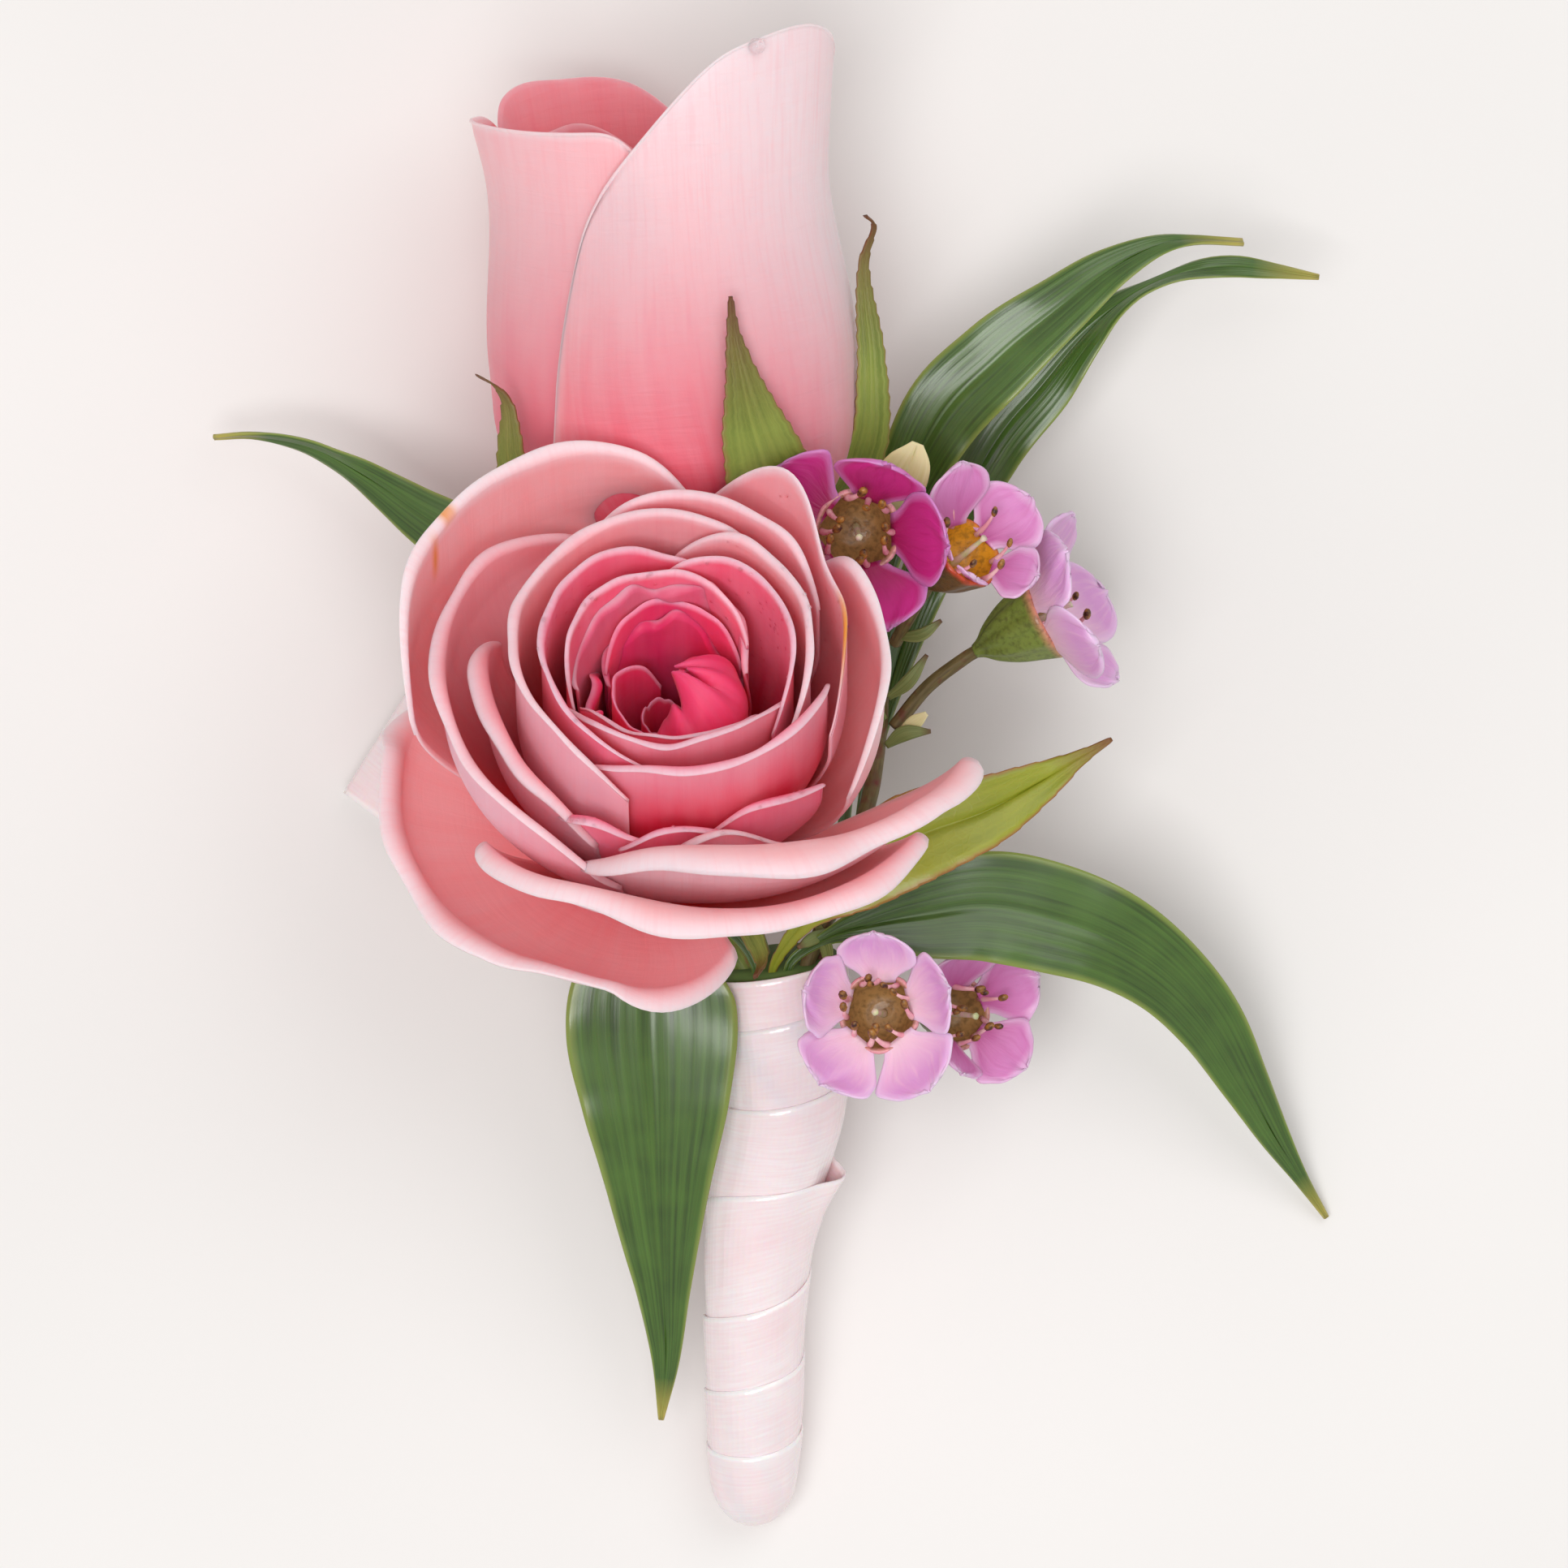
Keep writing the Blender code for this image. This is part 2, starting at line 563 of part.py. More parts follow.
def build_sepals_and_leaves(rose, bud, looks):
    for name, stations in BUD_SEPALS.items():
        angle, height, lift, width = smooth_path(stations, 11).T
        hip = BUD_DOME[0] - 0.1 - 0.5 * np.clip(-3.8 - height, 0, 10)
        petals = bud_shell(np.full(len(height), BUD_REACH), 1.0, np.maximum(height, -2.4))[0]
        radius = np.where(height < -2.4, hip, np.maximum(petals, hip)) + lift
        path = around(bud, radius, angle, height)
        across = unit(around(bud, radius, angle + 1.0, height) - path)
        blade(name, path, width, across, looks["calyx"], fold=-0.08, columns=4)
    for k, name in enumerate(("low", "right", "top", "left", "under")):
        angle = np.full(5, -49.0 + 72.0 * k)
        radius = np.array((ROSE_DOME[0] + 0.35, 9.0, 11.5, 13.4, 14.4))
        height = np.array((-5.9, -5.6, -6.0, -7.4, -9.2))
        path = around(rose, radius, angle, height)
        across = unit(around(rose, radius, angle + 1.0, height) - path)
        width = np.array((3.4, 3.6, 2.6, 1.2, 0.5))
        blade("rose_sepal_" + name, path, width, across, looks["calyx"], fold=0.05, columns=4)
    for name, stations in RUSCUS_LEAVES.items():
        leaf(name, stations, 17, looks["ruscus"])
    leaf("young_rose_leaf", YOUNG_LEAF, 11, looks["young_leaf"])


# ---- Wax flowers ----

# centre of the mouth, axis, direction of the first petal, the five petals' (length, lift in degrees)
WAX_FLOWERS = {
    "wax_flower_facing": (
        (8.4, 25.6, 32.0), (0.05, -0.22, 1.0), (0.35, 1.0, 0.2),
        ((8.6, 35), (8.4, -5), (8.0, 10), (9.0, 30), (9.0, 35)),
    ),
    "wax_flower_aged": (
        (19.2, 23.6, 29.6), (0.62, 0.50, 0.75), (-0.3, 1.0, 0.0),
        ((8.6, 35), (4.4, 50), (4.4, 50), (7.0, 30), (8.4, 20)),
    ),
    "wax_flower_side": (
        (27.2, 17.4, 20.0), (0.86, 0.42, 0.28), (0.0, 0.6, 0.8),
        ((8.4, 45), (8.2, 35), (7.4, 20), (8.2, 25), (8.4, 35)),
    ),
    "wax_flower_low": (
        (10.6, -21.8, 30.2), (-0.16, 0.05, 1.0), (0.0, 1.0, 0.0),
        ((8.0, 30), (8.0, 35), (8.8, 25), (8.8, 20), (8.2, 25)),
    ),
    "wax_flower_behind": (
        (18.6, -22.2, 17.6), (0.55, -0.05, 0.8), (0.9, 0.4, 0.0),
        ((8.6, 20), (7.6, 30), (6.8, 40), (7.6, 40), (8.4, 25)),
    ),
}
PALE_LEAF = (
    (9.9, 26.6, 24.4, 1.4, 0), (12.0, 29.6, 27.4, 5.0, 0),
    (13.6, 32.4, 28.6, 4.4, 0), (14.4, 34.4, 28.8, 1.2, 0),
)
WAX_BRACT = ((12.9, 6.0, 18.8, 0.8, 0), (14.2, 6.9, 19.2, 1.5, 0), (15.4, 7.8, 19.4, 0.5, 0))
WAX_CUP = 3.1  # radius of the cup's mouth
WAX_DEPTH = 6.2
WAX_PETAL = 0.4


def wax_flower(name, centre, axis, first, petals, look):
    """A cup with five rounded petals on its rim, as one closed solid."""
    frame = flower_frame(centre, axis, unit(first))
    steps = 5
    angles = np.arange(5 * steps) * 360 / (5 * steps)
    rings = []
    length, lift = np.array(petals, float).T
    lobe = (np.arange(5 * steps) + steps // 2) // steps % 5
    within = ((np.arange(5 * steps) + steps // 2) % steps + 0.5) / steps
    rim = WAX_CUP + 0.5 + (length[lobe] - WAX_CUP - 0.5) * np.sin(np.pi * within) ** 0.6
    rise = np.radians(lift[lobe])
    half = WAX_PETAL / 2

    def blade(share, side):
        out = (rim - WAX_CUP) * share
        cupped = out**2 * 0.035
        return (
            WAX_CUP + out * np.cos(rise) - (cupped + side) * np.sin(rise),
            out * np.sin(rise) + (cupped + side) * np.cos(rise),
        )

    ones = np.ones(5 * steps)
    profile = [
        (0.9 * ones, -1.1 * ones),
        (2.2 * ones, -0.8 * ones),
        blade(0.0, half),
        blade(0.5, half),
        blade(1.0, half),
        blade(1.0, -half),
        blade(0.5, -half),
        (WAX_CUP * 1.02 * ones, -0.9 * ones),
        (WAX_CUP * 0.8 * ones, -WAX_DEPTH * 0.55 * ones),
        (0.9 * ones, -WAX_DEPTH * ones),
    ]
    for radius, height in profile:
        rings.append(around(frame, radius, angles, height))
    return lofted(name, rings, look)


# (x, y, z, radius) of each stem, from just below its flower's cup to the binding or the stem it joins
WAX_STEMS = {
    "facing": (
        (9.0, 23.0, 21.4, 0.7), (10.8, 13.0, 18.4, 0.75), (10.0, 1.0, 18.6, 0.8), (6.8, -9.0, 20.8, 0.8),
        (3.6, -16.8, 22.3, 0.75), (3.3, -20.5, 21.5, 0.75), (2.9, -24.0, 19.7, 0.7), (3.0, -31.0, 17.2, 0.7),
        (0.9, -43.0, 13.6, 0.65),
    ),
    "aged": ((13.6, 17.4, 22.4, 0.65), (12.2, 14.8, 19.9, 0.65)),
    "side": ((19.0, 13.2, 17.4, 0.65), (15.4, 10.4, 17.4, 0.7), (12.1, 6.4, 18.0, 0.7)),
    "low": (
        (11.4, -18.4, 22.8, 0.65), (9.2, -15.2, 22.0, 0.65), (6.0, -14.0, 21.4, 0.62), (4.5, -17.6, 20.4, 0.62),
        (4.4, -20.5, 19.8, 0.62),
        (4.0, -24.0, 17.7, 0.62), (3.6, -31.0, 14.9, 0.6), (1.5, -43.0, 11.3, 0.6),
    ),
    "behind": ((13.4, -20.6, 12.4, 0.6), (10.2, -17.4, 16.0, 0.6), (9.4, -16.2, 19.6, 0.6)),
}


def build_wax_flowers(looks):
    for name, (centre, axis, first, petals) in WAX_FLOWERS.items():
        wax_flower(name, centre, axis, first, petals, looks["wax_petal"])
        kind = name.split("_")[-1]
        foot = np.asarray(centre) - unit(axis) * (WAX_DEPTH + 2 * SEAT)
        stations = ((*foot, WAX_STEMS[kind][0][3]), *WAX_STEMS[kind])
        tube("wax_stem_" + kind, stations, 2 * len(stations) + 2, 7, looks["wax_stem"])
    leaf("wax_leaf_pale", PALE_LEAF, 6, looks["wax_stem"], columns=4, thickness=0.35)
    leaf("wax_bract", WAX_BRACT, 5, looks["wax_stem"], columns=3, thickness=0.35)


# ---- The binding ----


def sleeve(name, inset, wall, sides, look):
    """A sock round the stems: the handle's shape, inset from its outside by this much."""
    stations = [(*centre, radius) for centre, radius in HANDLE]
    spread = smooth_path(stations, 15)
    path, radius = spread[:, :3], spread[:, 3] - inset
    tangent = unit(path[-1] - path[-2])
    end = path[-1] - tangent * inset
    radius = np.append(radius[:-1], radius[-1] * 0.8)
    outer = rings_on(np.vstack([path[:-1], end]), radius, sides)
    inner = rings_on(np.vstack([path[:-1], end - tangent * wall]), radius - wall, sides)
    return lofted(name, inner[::-1] + outer, look)


def build_binding(looks):
    sleeve("ribbon_wrap", 0.0, RIBBON_WALL, 20, looks["satin"])
    sleeve("floral_tape", RIBBON_WALL + SEAT, TAPE_WALL, 16, looks["tape"])
    loop = (
        (-6.6, -19.4, 13.4, 7.0), (-14.0, -12.6, 9.2, 11.0), (-26.0, -3.4, 6.4, 14.6), (-35.0, 3.0, 5.6, 15.0),
        (-38.4, 5.5, 4.5, 15.0), (-39.4, 6.2, 2.7, 15.0), (-38.4, 5.5, 1.1, 15.0), (-35.0, 3.0, 0.2, 15.0),
        (-26.0, -3.4, 0.4, 14.6), (-14.0, -12.2, 4.2, 11.0), (-6.9, -18.6, 11.6, 7.0),
    )
    spread = smooth_path(loop, 26)
    across = unit((0.53, 0.85, 0.0))
    u = np.linspace(-0.5, 0.5, 3)[None, :, None]
    grid = spread[:, None, :3] + u * spread[:, None, 3:] * across
    sheet("ribbon_loop", grid, 0.4, looks["satin"])


def main():
    clear_scene()
    looks = make_materials()
    rose = build_rose(looks)
    bud = build_bud(looks)
    build_sepals_and_leaves(rose, bud, looks)
    build_wax_flowers(looks)
    build_binding(looks)


main()
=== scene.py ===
"""The looks of a boutonniere lying on its back: an open spray rose, a rosebud, ruscus leaves, a young
rose leaf and sprigs of wax flower, bound with floral tape and wrapped with satin ribbon.

Places are in millimetres in the frame's own axes until a mesh is made: +Y runs from the ribbon handle
to the rosebud, +X to the side with the wax flowers, +Z away from the table.
"""

import math

import bpy
import numpy as np
from mathutils import Euler, Matrix, Vector


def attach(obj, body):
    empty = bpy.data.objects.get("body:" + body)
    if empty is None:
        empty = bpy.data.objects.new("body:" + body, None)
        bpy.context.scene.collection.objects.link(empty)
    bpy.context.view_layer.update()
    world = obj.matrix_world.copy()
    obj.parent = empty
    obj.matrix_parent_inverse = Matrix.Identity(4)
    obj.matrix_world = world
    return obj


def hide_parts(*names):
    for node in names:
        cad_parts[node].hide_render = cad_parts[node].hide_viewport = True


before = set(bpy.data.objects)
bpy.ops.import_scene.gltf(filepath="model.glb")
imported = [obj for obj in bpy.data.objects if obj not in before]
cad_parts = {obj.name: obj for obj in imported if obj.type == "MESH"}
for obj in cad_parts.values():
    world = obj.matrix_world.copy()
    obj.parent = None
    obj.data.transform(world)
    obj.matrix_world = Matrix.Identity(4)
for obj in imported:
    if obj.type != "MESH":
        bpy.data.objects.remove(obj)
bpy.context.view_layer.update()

# ---- Camera, lamps and floor ----
# The bouquet lies on a pale table and is looked at from straight above, with the bud at the top. One
# large soft lamp stands almost overhead, so that light reaches into the open rose, a weaker one
# over its upper right, and a pale room fills the rest.

MM = 0.001
LOOK_AT = (1.2 * MM, 1.3 * MM, 30 * MM)
CAMERA_RISE = 1.0
VIEW_WIDTH = 154.6 * MM  # what the camera takes in at the height it looks at
SENSOR = 36.0


def linear(hex_colour):
    """An sRGB hex colour as linear red, green, blue and alpha."""
    found = []
    for k in (1, 3, 5):
        value = int(hex_colour[k : k + 2], 16) / 255
        found.append(value / 12.92 if value <= 0.04045 else ((value + 0.055) / 1.055) ** 2.4)
    return (*found, 1.0)


def add_node(tree, kind, inputs=(), stops=(), **settings):
    """A node with its settings, its ramp's stops and its inputs, each a value or a socket to link."""
    node = tree.nodes.new(kind)
    for key, value in settings.items():
        setattr(node, key, value)
    for k, (place, colour) in enumerate(stops):
        elements = node.color_ramp.elements
        stop = elements[k] if k < 2 else elements.new(place)
        stop.position = place
        stop.color = linear(colour) if isinstance(colour, str) else (colour, colour, colour, 1.0)
    for key, value in dict(inputs).items():
        if isinstance(value, bpy.types.NodeSocket):
            tree.links.new(value, node.inputs[key])
        else:
            node.inputs[key].default_value = value
    return node


def new_material(name, **sockets):
    """A material whose Principled shader has these values, with its tree and shader."""
    made = bpy.data.materials.new(name)
    made.use_nodes = True
    shader = made.node_tree.nodes["Principled BSDF"]
    for key, value in sockets.items():
        shader.inputs[key.replace("_", " ")].default_value = value
    return made, made.node_tree, shader


def aim(thing, place, target):
    thing.location = place
    thing.rotation_euler = (Vector(target) - Vector(place)).to_track_quat("-Z", "Y").to_euler()
    bpy.context.scene.collection.objects.link(thing)


lens = bpy.data.cameras.new("camera")
lens.sensor_width = SENSOR
lens.lens = SENSOR * CAMERA_RISE / VIEW_WIDTH
lens.clip_start = 0.05
camera = bpy.data.objects.new("camera", lens)
aim(camera, (LOOK_AT[0], LOOK_AT[1], LOOK_AT[2] + CAMERA_RISE), LOOK_AT)
bpy.context.scene.camera = camera
bpy.context.scene.view_settings.view_transform = "Standard"

LAMPS = {
    "key_lamp": ((-0.14, -0.20, 0.98), 0.50, 4.9),
    "fill_lamp": ((0.34, 0.36, 0.80), 0.60, 1.7),
}
for name, (place, size, watts) in LAMPS.items():
    lamp = bpy.data.lights.new(name, "AREA")
    lamp.size = size
    lamp.energy = watts
    aim(bpy.data.objects.new(name, lamp), place, LOOK_AT)

world = bpy.data.worlds.new("pale_room")
world.use_nodes = True
bpy.context.scene.world = world
room = world.node_tree
room.nodes["Background"].inputs["Color"].default_value = linear("#F4F2F0")
room.nodes["Background"].inputs["Strength"].default_value = 0.58

FLOOR_SIDE = 6.0
floor_mesh = bpy.data.meshes.new("floor")
half = FLOOR_SIDE / 2
corners = [(-half, -half, 0), (half, -half, 0), (half, half, 0), (-half, half, 0)]
floor_mesh.from_pydata(corners, [], [(0, 1, 2, 3)])
floor = bpy.data.objects.new("floor", floor_mesh)
bpy.context.scene.collection.objects.link(floor)
# pale matt paint, with a faint unevenness
paint, tree, shader = new_material("matt_floor_paint", Roughness=0.85)
place = add_node(tree, "ShaderNodeTexCoord")
uneven = add_node(tree, "ShaderNodeTexNoise", {"Vector": place.outputs["Object"], "Scale": 9.0})
tone = add_node(
    tree, "ShaderNodeValToRGB",
    {"Fac": uneven.outputs["Fac"]}, stops=((0.3, "#E9E7E5"), (0.7, "#EFEDEB")),
)
tree.links.new(tone.outputs["Color"], shader.inputs["Base Color"])
floor_mesh.materials.append(paint)

# ---- The stems in the handle ----
# Green stems of the rose, the bud and the wax flowers come together below the flowers and run down
# the handle. The two roses' stems swell into a smooth hip under each flower. They are grown, round,
# with fine lengthwise grain and small reddish flecks.

SET_DOWN = np.array((0.02, 0.54, 0.18))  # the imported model's origin, under its middle
SEAT = 0.3  # gap between pieces that sit on each other


def unit(v):
    v = np.asarray(v, float)
    return v / np.linalg.norm(v, axis=-1, keepdims=True)


def ease(x):
    x = np.clip(x, 0, 1)
    return x * x * (3 - 2 * x)


def dense_curve(points, per_span=24):
    """Points on a Catmull-Rom curve through the given ones, any number of columns."""
    points = np.asarray(points, float)
    padded = np.vstack([2 * points[0] - points[1], points, 2 * points[-1] - points[-2]])
    found = []
    for k in range(1, len(padded) - 2):
        a, b, c, d = padded[k - 1 : k + 3]
        t = np.linspace(0, 1, per_span, endpoint=False)[:, None]
        bend = (2 * a - 5 * b + 4 * c - d) * t**2 + (3 * b - a - 3 * c + d) * t**3
        found.append(0.5 * (2 * b + (c - a) * t + bend))
    return np.vstack([*found, points[-1:]])


def run_along(path):
    """How far along a path each of its points lies."""
    return np.concatenate([[0], np.cumsum(np.linalg.norm(np.diff(path, axis=0), axis=1))])


def unrolled(across, along):
    """Each point's place on a surface laid flat, from its places across and along it."""
    return np.stack(np.broadcast_arrays(across, along), -1)


def smooth_path(points, count):
    """The same curve with its points evenly spread along its first three columns."""
    dense = dense_curve(points)
    along = run_along(dense[:, :3])
    wanted = np.linspace(0, along[-1], count)
    return np.stack([np.interp(wanted, along, column) for column in dense.T], 1)


def through(values, u):
    """A smooth curve through values spread evenly over u from -1 to 1."""
    knots = dense_curve(np.stack([np.linspace(-1, 1, len(values)), values], 1))
    return np.interp(u, knots[:, 0], knots[:, 1])


def waver(x, seed, pitch):
    """A smooth wobble from -1 to 1 along x, fixed by its seed, with waves about as long as the pitch."""
    chance = np.random.default_rng(seed)
    total = 0.0
    shares = (1.0, 0.62, 0.37)
    for share in shares:
        wave = 2 * np.pi * np.asarray(x) / (pitch * share) + chance.uniform(0, 6.28)
        total = total + share * np.sin(wave)
    return total / sum(shares)


def add_piece(name, points, faces, look, stands_for=(), uv=None, facts=None):
    """A finished piece from millimetres. uv gives each point's place on the unrolled surface in
    millimetres, and facts a number at each point for its material to read.
    """
    mesh = bpy.data.meshes.new(name)
    mesh.from_pydata((points + SET_DOWN) * MM, [], faces)
    mesh.materials.append(look)
    mesh.shade_smooth()
    if uv is not None:
        corner = np.empty(len(mesh.loops), np.int32)
        mesh.loops.foreach_get("vertex_index", corner)
        layer = mesh.uv_layers.new(name="unrolled_mm")
        layer.uv.foreach_set("vector", np.asarray(uv, np.float32)[corner].reshape(-1))
    for fact, values in (facts or {}).items():
        stored = mesh.attributes.new(fact, "FLOAT", "POINT")
        stored.data.foreach_set("value", np.asarray(values, np.float32).reshape(-1))
    piece = bpy.data.objects.new(name, mesh)
    bpy.context.scene.collection.objects.link(piece)
    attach(piece, "root")
    if stands_for:
        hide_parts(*stands_for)
    return piece


def turned_along(path):
    """Two unit directions across the path at each point, that never twist: right and front of it."""
    tangent = unit(np.gradient(path, axis=0))
    right = unit(np.cross((0.0, 0.0, 1.0), tangent[0]) + (1e-6, 0, 0))
    rights, fronts = [], []
    for t in tangent:
        right = unit(right - t * np.dot(right, t))
        rights.append(right)
        fronts.append(np.cross(t, right))
    return np.array(rights), np.array(fronts)


def loft(rings):
    """Points and outward faces of a closed form through rings of equal size, with a fan at each end."""
    count, sides = rings.shape[:2]
    points = np.concatenate([rings.reshape(-1, 3), rings[:1].mean(1), rings[-1:].mean(1)])
    index = np.arange(count * sides).reshape(count, sides)
    after = np.roll(index, -1, axis=1)
    wall = np.stack([index[:-1], after[:-1], after[1:], index[1:]], -1).reshape(-1, 4)
    first = np.stack([np.full(sides, count * sides), after[0], index[0]], -1)
    last = np.stack([np.full(sides, count * sides + 1), index[-1], after[-1]], -1)
    faces = [*wall.tolist(), *first.tolist(), *last.tolist()]
    a, b, c = points[wall[:, 0]], points[wall[:, 1]], points[wall[:, 2]]
    if np.einsum("ij,ij->", a - points[-2], np.cross(b - a, c - b)) < 0:
        faces = [face[::-1] for face in faces]
    return points, faces


def rod(name, stations, count, sides, look, stands_for=(), grain=0.04, seed=1):
    """A stem through stations of (x, y, z, radius), with shallow lengthwise ribs."""
    spread = smooth_path(stations, count)
    path, radius = spread[:, :3], spread[:, 3]
    right, front = turned_along(path)
    turn = np.linspace(0, 2 * np.pi, sides, endpoint=False)
    along = run_along(path)
    ribs = 1 + grain * np.cos(5 * turn)[None, :] + 0.5 * grain * waver(along, seed, 9.0)[:, None]
    reach = (radius[:, None] * ribs)[..., None]
    rings = path[:, None] + reach * (
        np.cos(turn)[None, :, None] * right[:, None] + np.sin(turn)[None, :, None] * front[:, None]
    )
    points, faces = loft(rings)
    uv = unrolled(turn * radius.mean(), along[:, None]).reshape(-1, 2)
    uv = np.vstack([uv, (0, 0), (0, along[-1])])
    far = np.concatenate([np.repeat(along / along[-1], sides), (0, 1)])
    return add_piece(name, points, faces, look, stands_for, uv, {"along": far})


def stem_skin(name, pale, dark, fleck, roughness):
    """Green stem bark: grown in lengthwise fibres, with a waxy bloom that softens its gloss."""
    made, tree, shader = new_material(name, Roughness=roughness, Subsurface_Weight=0.1)
    shader.inputs["Subsurface Scale"].default_value = 1.0 * MM
    lies = add_node(tree, "ShaderNodeUVMap", uv_map="unrolled_mm")
    fibres = add_node(
        tree, "ShaderNodeMapping", {"Vector": lies.outputs["UV"], "Scale": (3.0, 0.35, 1.0)}
    )
    fibre = add_node(
        tree, "ShaderNodeTexNoise", {"Vector": fibres.outputs["Vector"], "Scale": 1.0, "Detail": 4.0}
    )
    tone = add_node(
        tree, "ShaderNodeValToRGB", {"Fac": fibre.outputs["Fac"]}, stops=((0.32, dark), (0.68, pale))
    )
    spots = add_node(
        tree, "ShaderNodeTexNoise", {"Vector": lies.outputs["UV"], "Scale": 0.55, "Detail": 3.0}
    )
    spotted = add_node(
        tree, "ShaderNodeValToRGB", {"Fac": spots.outputs["Fac"]}, stops=((0.52, 0.0), (0.72, 1.0))
    )
    flecked = add_node(
        tree, "ShaderNodeMix",
        {0: spotted.outputs["Color"], 6: tone.outputs["Color"], 7: linear(fleck)}, data_type="RGBA",
    )
    relief = add_node(
        tree, "ShaderNodeBump", {"Height": fibre.outputs["Fac"], "Strength": 0.5, "Distance": 0.12 * MM}
    )
    tree.links.new(flecked.outputs[2], shader.inputs["Base Color"])
    tree.links.new(relief.outputs["Normal"], shader.inputs["Normal"])
    return made


rose_bark = stem_skin("rose_stem_bark", "#8FA24A", "#5C7430", "#8A4A3A", 0.45)
wax_bark = stem_skin("wax_flower_twig_bark", "#7A6A3C", "#574A26", "#6E2E22", 0.6)

ROSE_BASE = np.array((-10.1, -1.4, 28.0))  # top of the open rose's receptacle
ROSE_TILT = math.radians(35.0)  # how far it leans from straight up towards the bud
ROSE_AXIS = np.array((0.0, math.sin(ROSE_TILT), math.cos(ROSE_TILT)))
ROSE_DOME = (6.4, 5.4)  # radius and height of the dome that the petals grow from
BUD_BASE = np.array((-9.4, 24.8, 13.6))
BUD_AXIS = unit((-0.045, 0.955, 0.292))
BUD_DOME = (6.3, 3.0)


def dome_point(dome, degrees):
    turn = np.radians(degrees)
    return dome[0] * np.sin(turn), -dome[1] * (1 - np.cos(turn))


def hip_and_stem(base, axis, dome, neck, stations):
    """Stations of (x, y, z, radius) from the top of a receptacle through its hip to the stem's cut end."""
    found = []
    for degrees in (8, 20, 35, 50, 65, 80):
        radius, height = dome_point(dome, degrees)
        found.append((height, radius))
    low = found[-1][0]
    found += [(low - 1.6, dome[0] * 0.92), (low - 4, dome[0] * 0.66), (low - neck, 1.8)]
    return [(*(base + axis * height), radius) for height, radius in found] + list(stations)


ROSE_STEM = (
    (-9.0, -11.0, 16.0, 1.5), (-6.2, -13.2, 18.2, 1.45), (-3.2, -16.8, 20.2, 1.4),
    (-0.6, -23.0, 19.8, 1.35), (-0.1, -31.0, 17.6, 1.35), (-2.1, -41.0, 14.5, 1.3),
    (-2.9, -52.0, 11.3, 1.3), (-2.5, -64.0, 7.2, 1.1),
)
BUD_STEM = (
    (-8.2, 6.0, 9.6, 1.5), (-5.4, -5.0, 11.2, 1.45), (-1.6, -16.2, 16.2, 1.4), (0.7, -23.0, 16.1, 1.35),
    (0.9, -31.0, 14.2, 1.35), (-1.1, -41.0, 11.1, 1.3), (-1.7, -52.0, 8.2, 1.25), (-1.4, -63.0, 5.2, 1.1),
)
rod(
    "rose_hip_and_stem", hip_and_stem(ROSE_BASE, ROSE_AXIS, ROSE_DOME, 7.5, ROSE_STEM), 110, 30,
    rose_bark, ["rose_stem"], grain=0.012,
)
rod(
    "bud_hip_and_stem", hip_and_stem(BUD_BASE, BUD_AXIS, BUD_DOME, 8.5, BUD_STEM), 120, 30,
    rose_bark, ["bud_stem"], grain=0.012, seed=2,
)

# ---- The open rose ----
# Twenty-odd soft petals grow from one round receptacle and wrap each other from a tight rolled heart
# to wide guard petals, whose edges turn over. They are coral pink inside, deeper towards the heart
# and each petal's foot, partly their own colour and partly painted shade of the deep bowl, with pale
# lips, partly their own paler edge and partly a painted highlight on the roll, and near-white backs,
# finely veined from the foot to the edge.

ROSE_REACH = 30.0  # furthest petal
PETAL_THICKNESS = 0.42
RIM_THICKNESS = 0.26


def flower_axes(axis, right=(1.0, 0.0, 0.0)):
    """Three unit directions of a flower: right, up and along its axis."""
    axis = unit(axis)
    up = unit(np.cross(axis, right))
    return np.cross(up, axis), up, axis


def around(base, axes, radius, angle, height):
    """Points by distance from the axis, angle in degrees from the right, and height along the axis."""
    right, up, axis = axes
    turn = np.radians(angle)
    out = (radius * np.cos(turn))[..., None] * right + (radius * np.sin(turn))[..., None] * up
    return base + out + np.asarray(height, float)[..., None] * axis


def dome_angle(reach):
    """Where on the receptacle's dome a rose petal grows, in degrees down from its top."""
    return 78 * (1 - np.exp(-reach * 2.1 / ROSE_REACH)) / (1 - math.exp(-2.1))


def rose_shell(reach, share, top, full=None):
    """Distance from the axis and height of a point on a cup-shaped shell. share runs from 0 at the
    shell's foot on the dome to 1 at its top, and full is the rise at which it has its whole reach.
    """
    foot, low = dome_point(ROSE_DOME, dome_angle(reach))
    rise = SEAT + share * (top - low - SEAT)
    full = 12 + 0.45 * reach if full is None else full
    opened = 1 - (1 - np.clip(rise / full, 0, 1)) ** 1.6
    return foot + (reach - foot) * opened, low + rise


def sheet_faces(rows, columns):
    """Faces of a closed sheet with its front points first, then its back ones."""
    index = np.arange(rows * columns).reshape(rows, columns)
    front = np.stack([index[:-1, :-1], index[:-1, 1:], index[1:, 1:], index[1:, :-1]], -1).reshape(-1, 4)
    rim = np.concatenate([index[0, :-1], index[:-1, -1], index[-1, :0:-1], index[:0:-1, 0]])
    after, back = np.roll(rim, -1), rows * columns
    edge = np.stack([after, rim, rim + back, after + back], -1)
    return np.concatenate([front, front[:, ::-1] + back, edge])


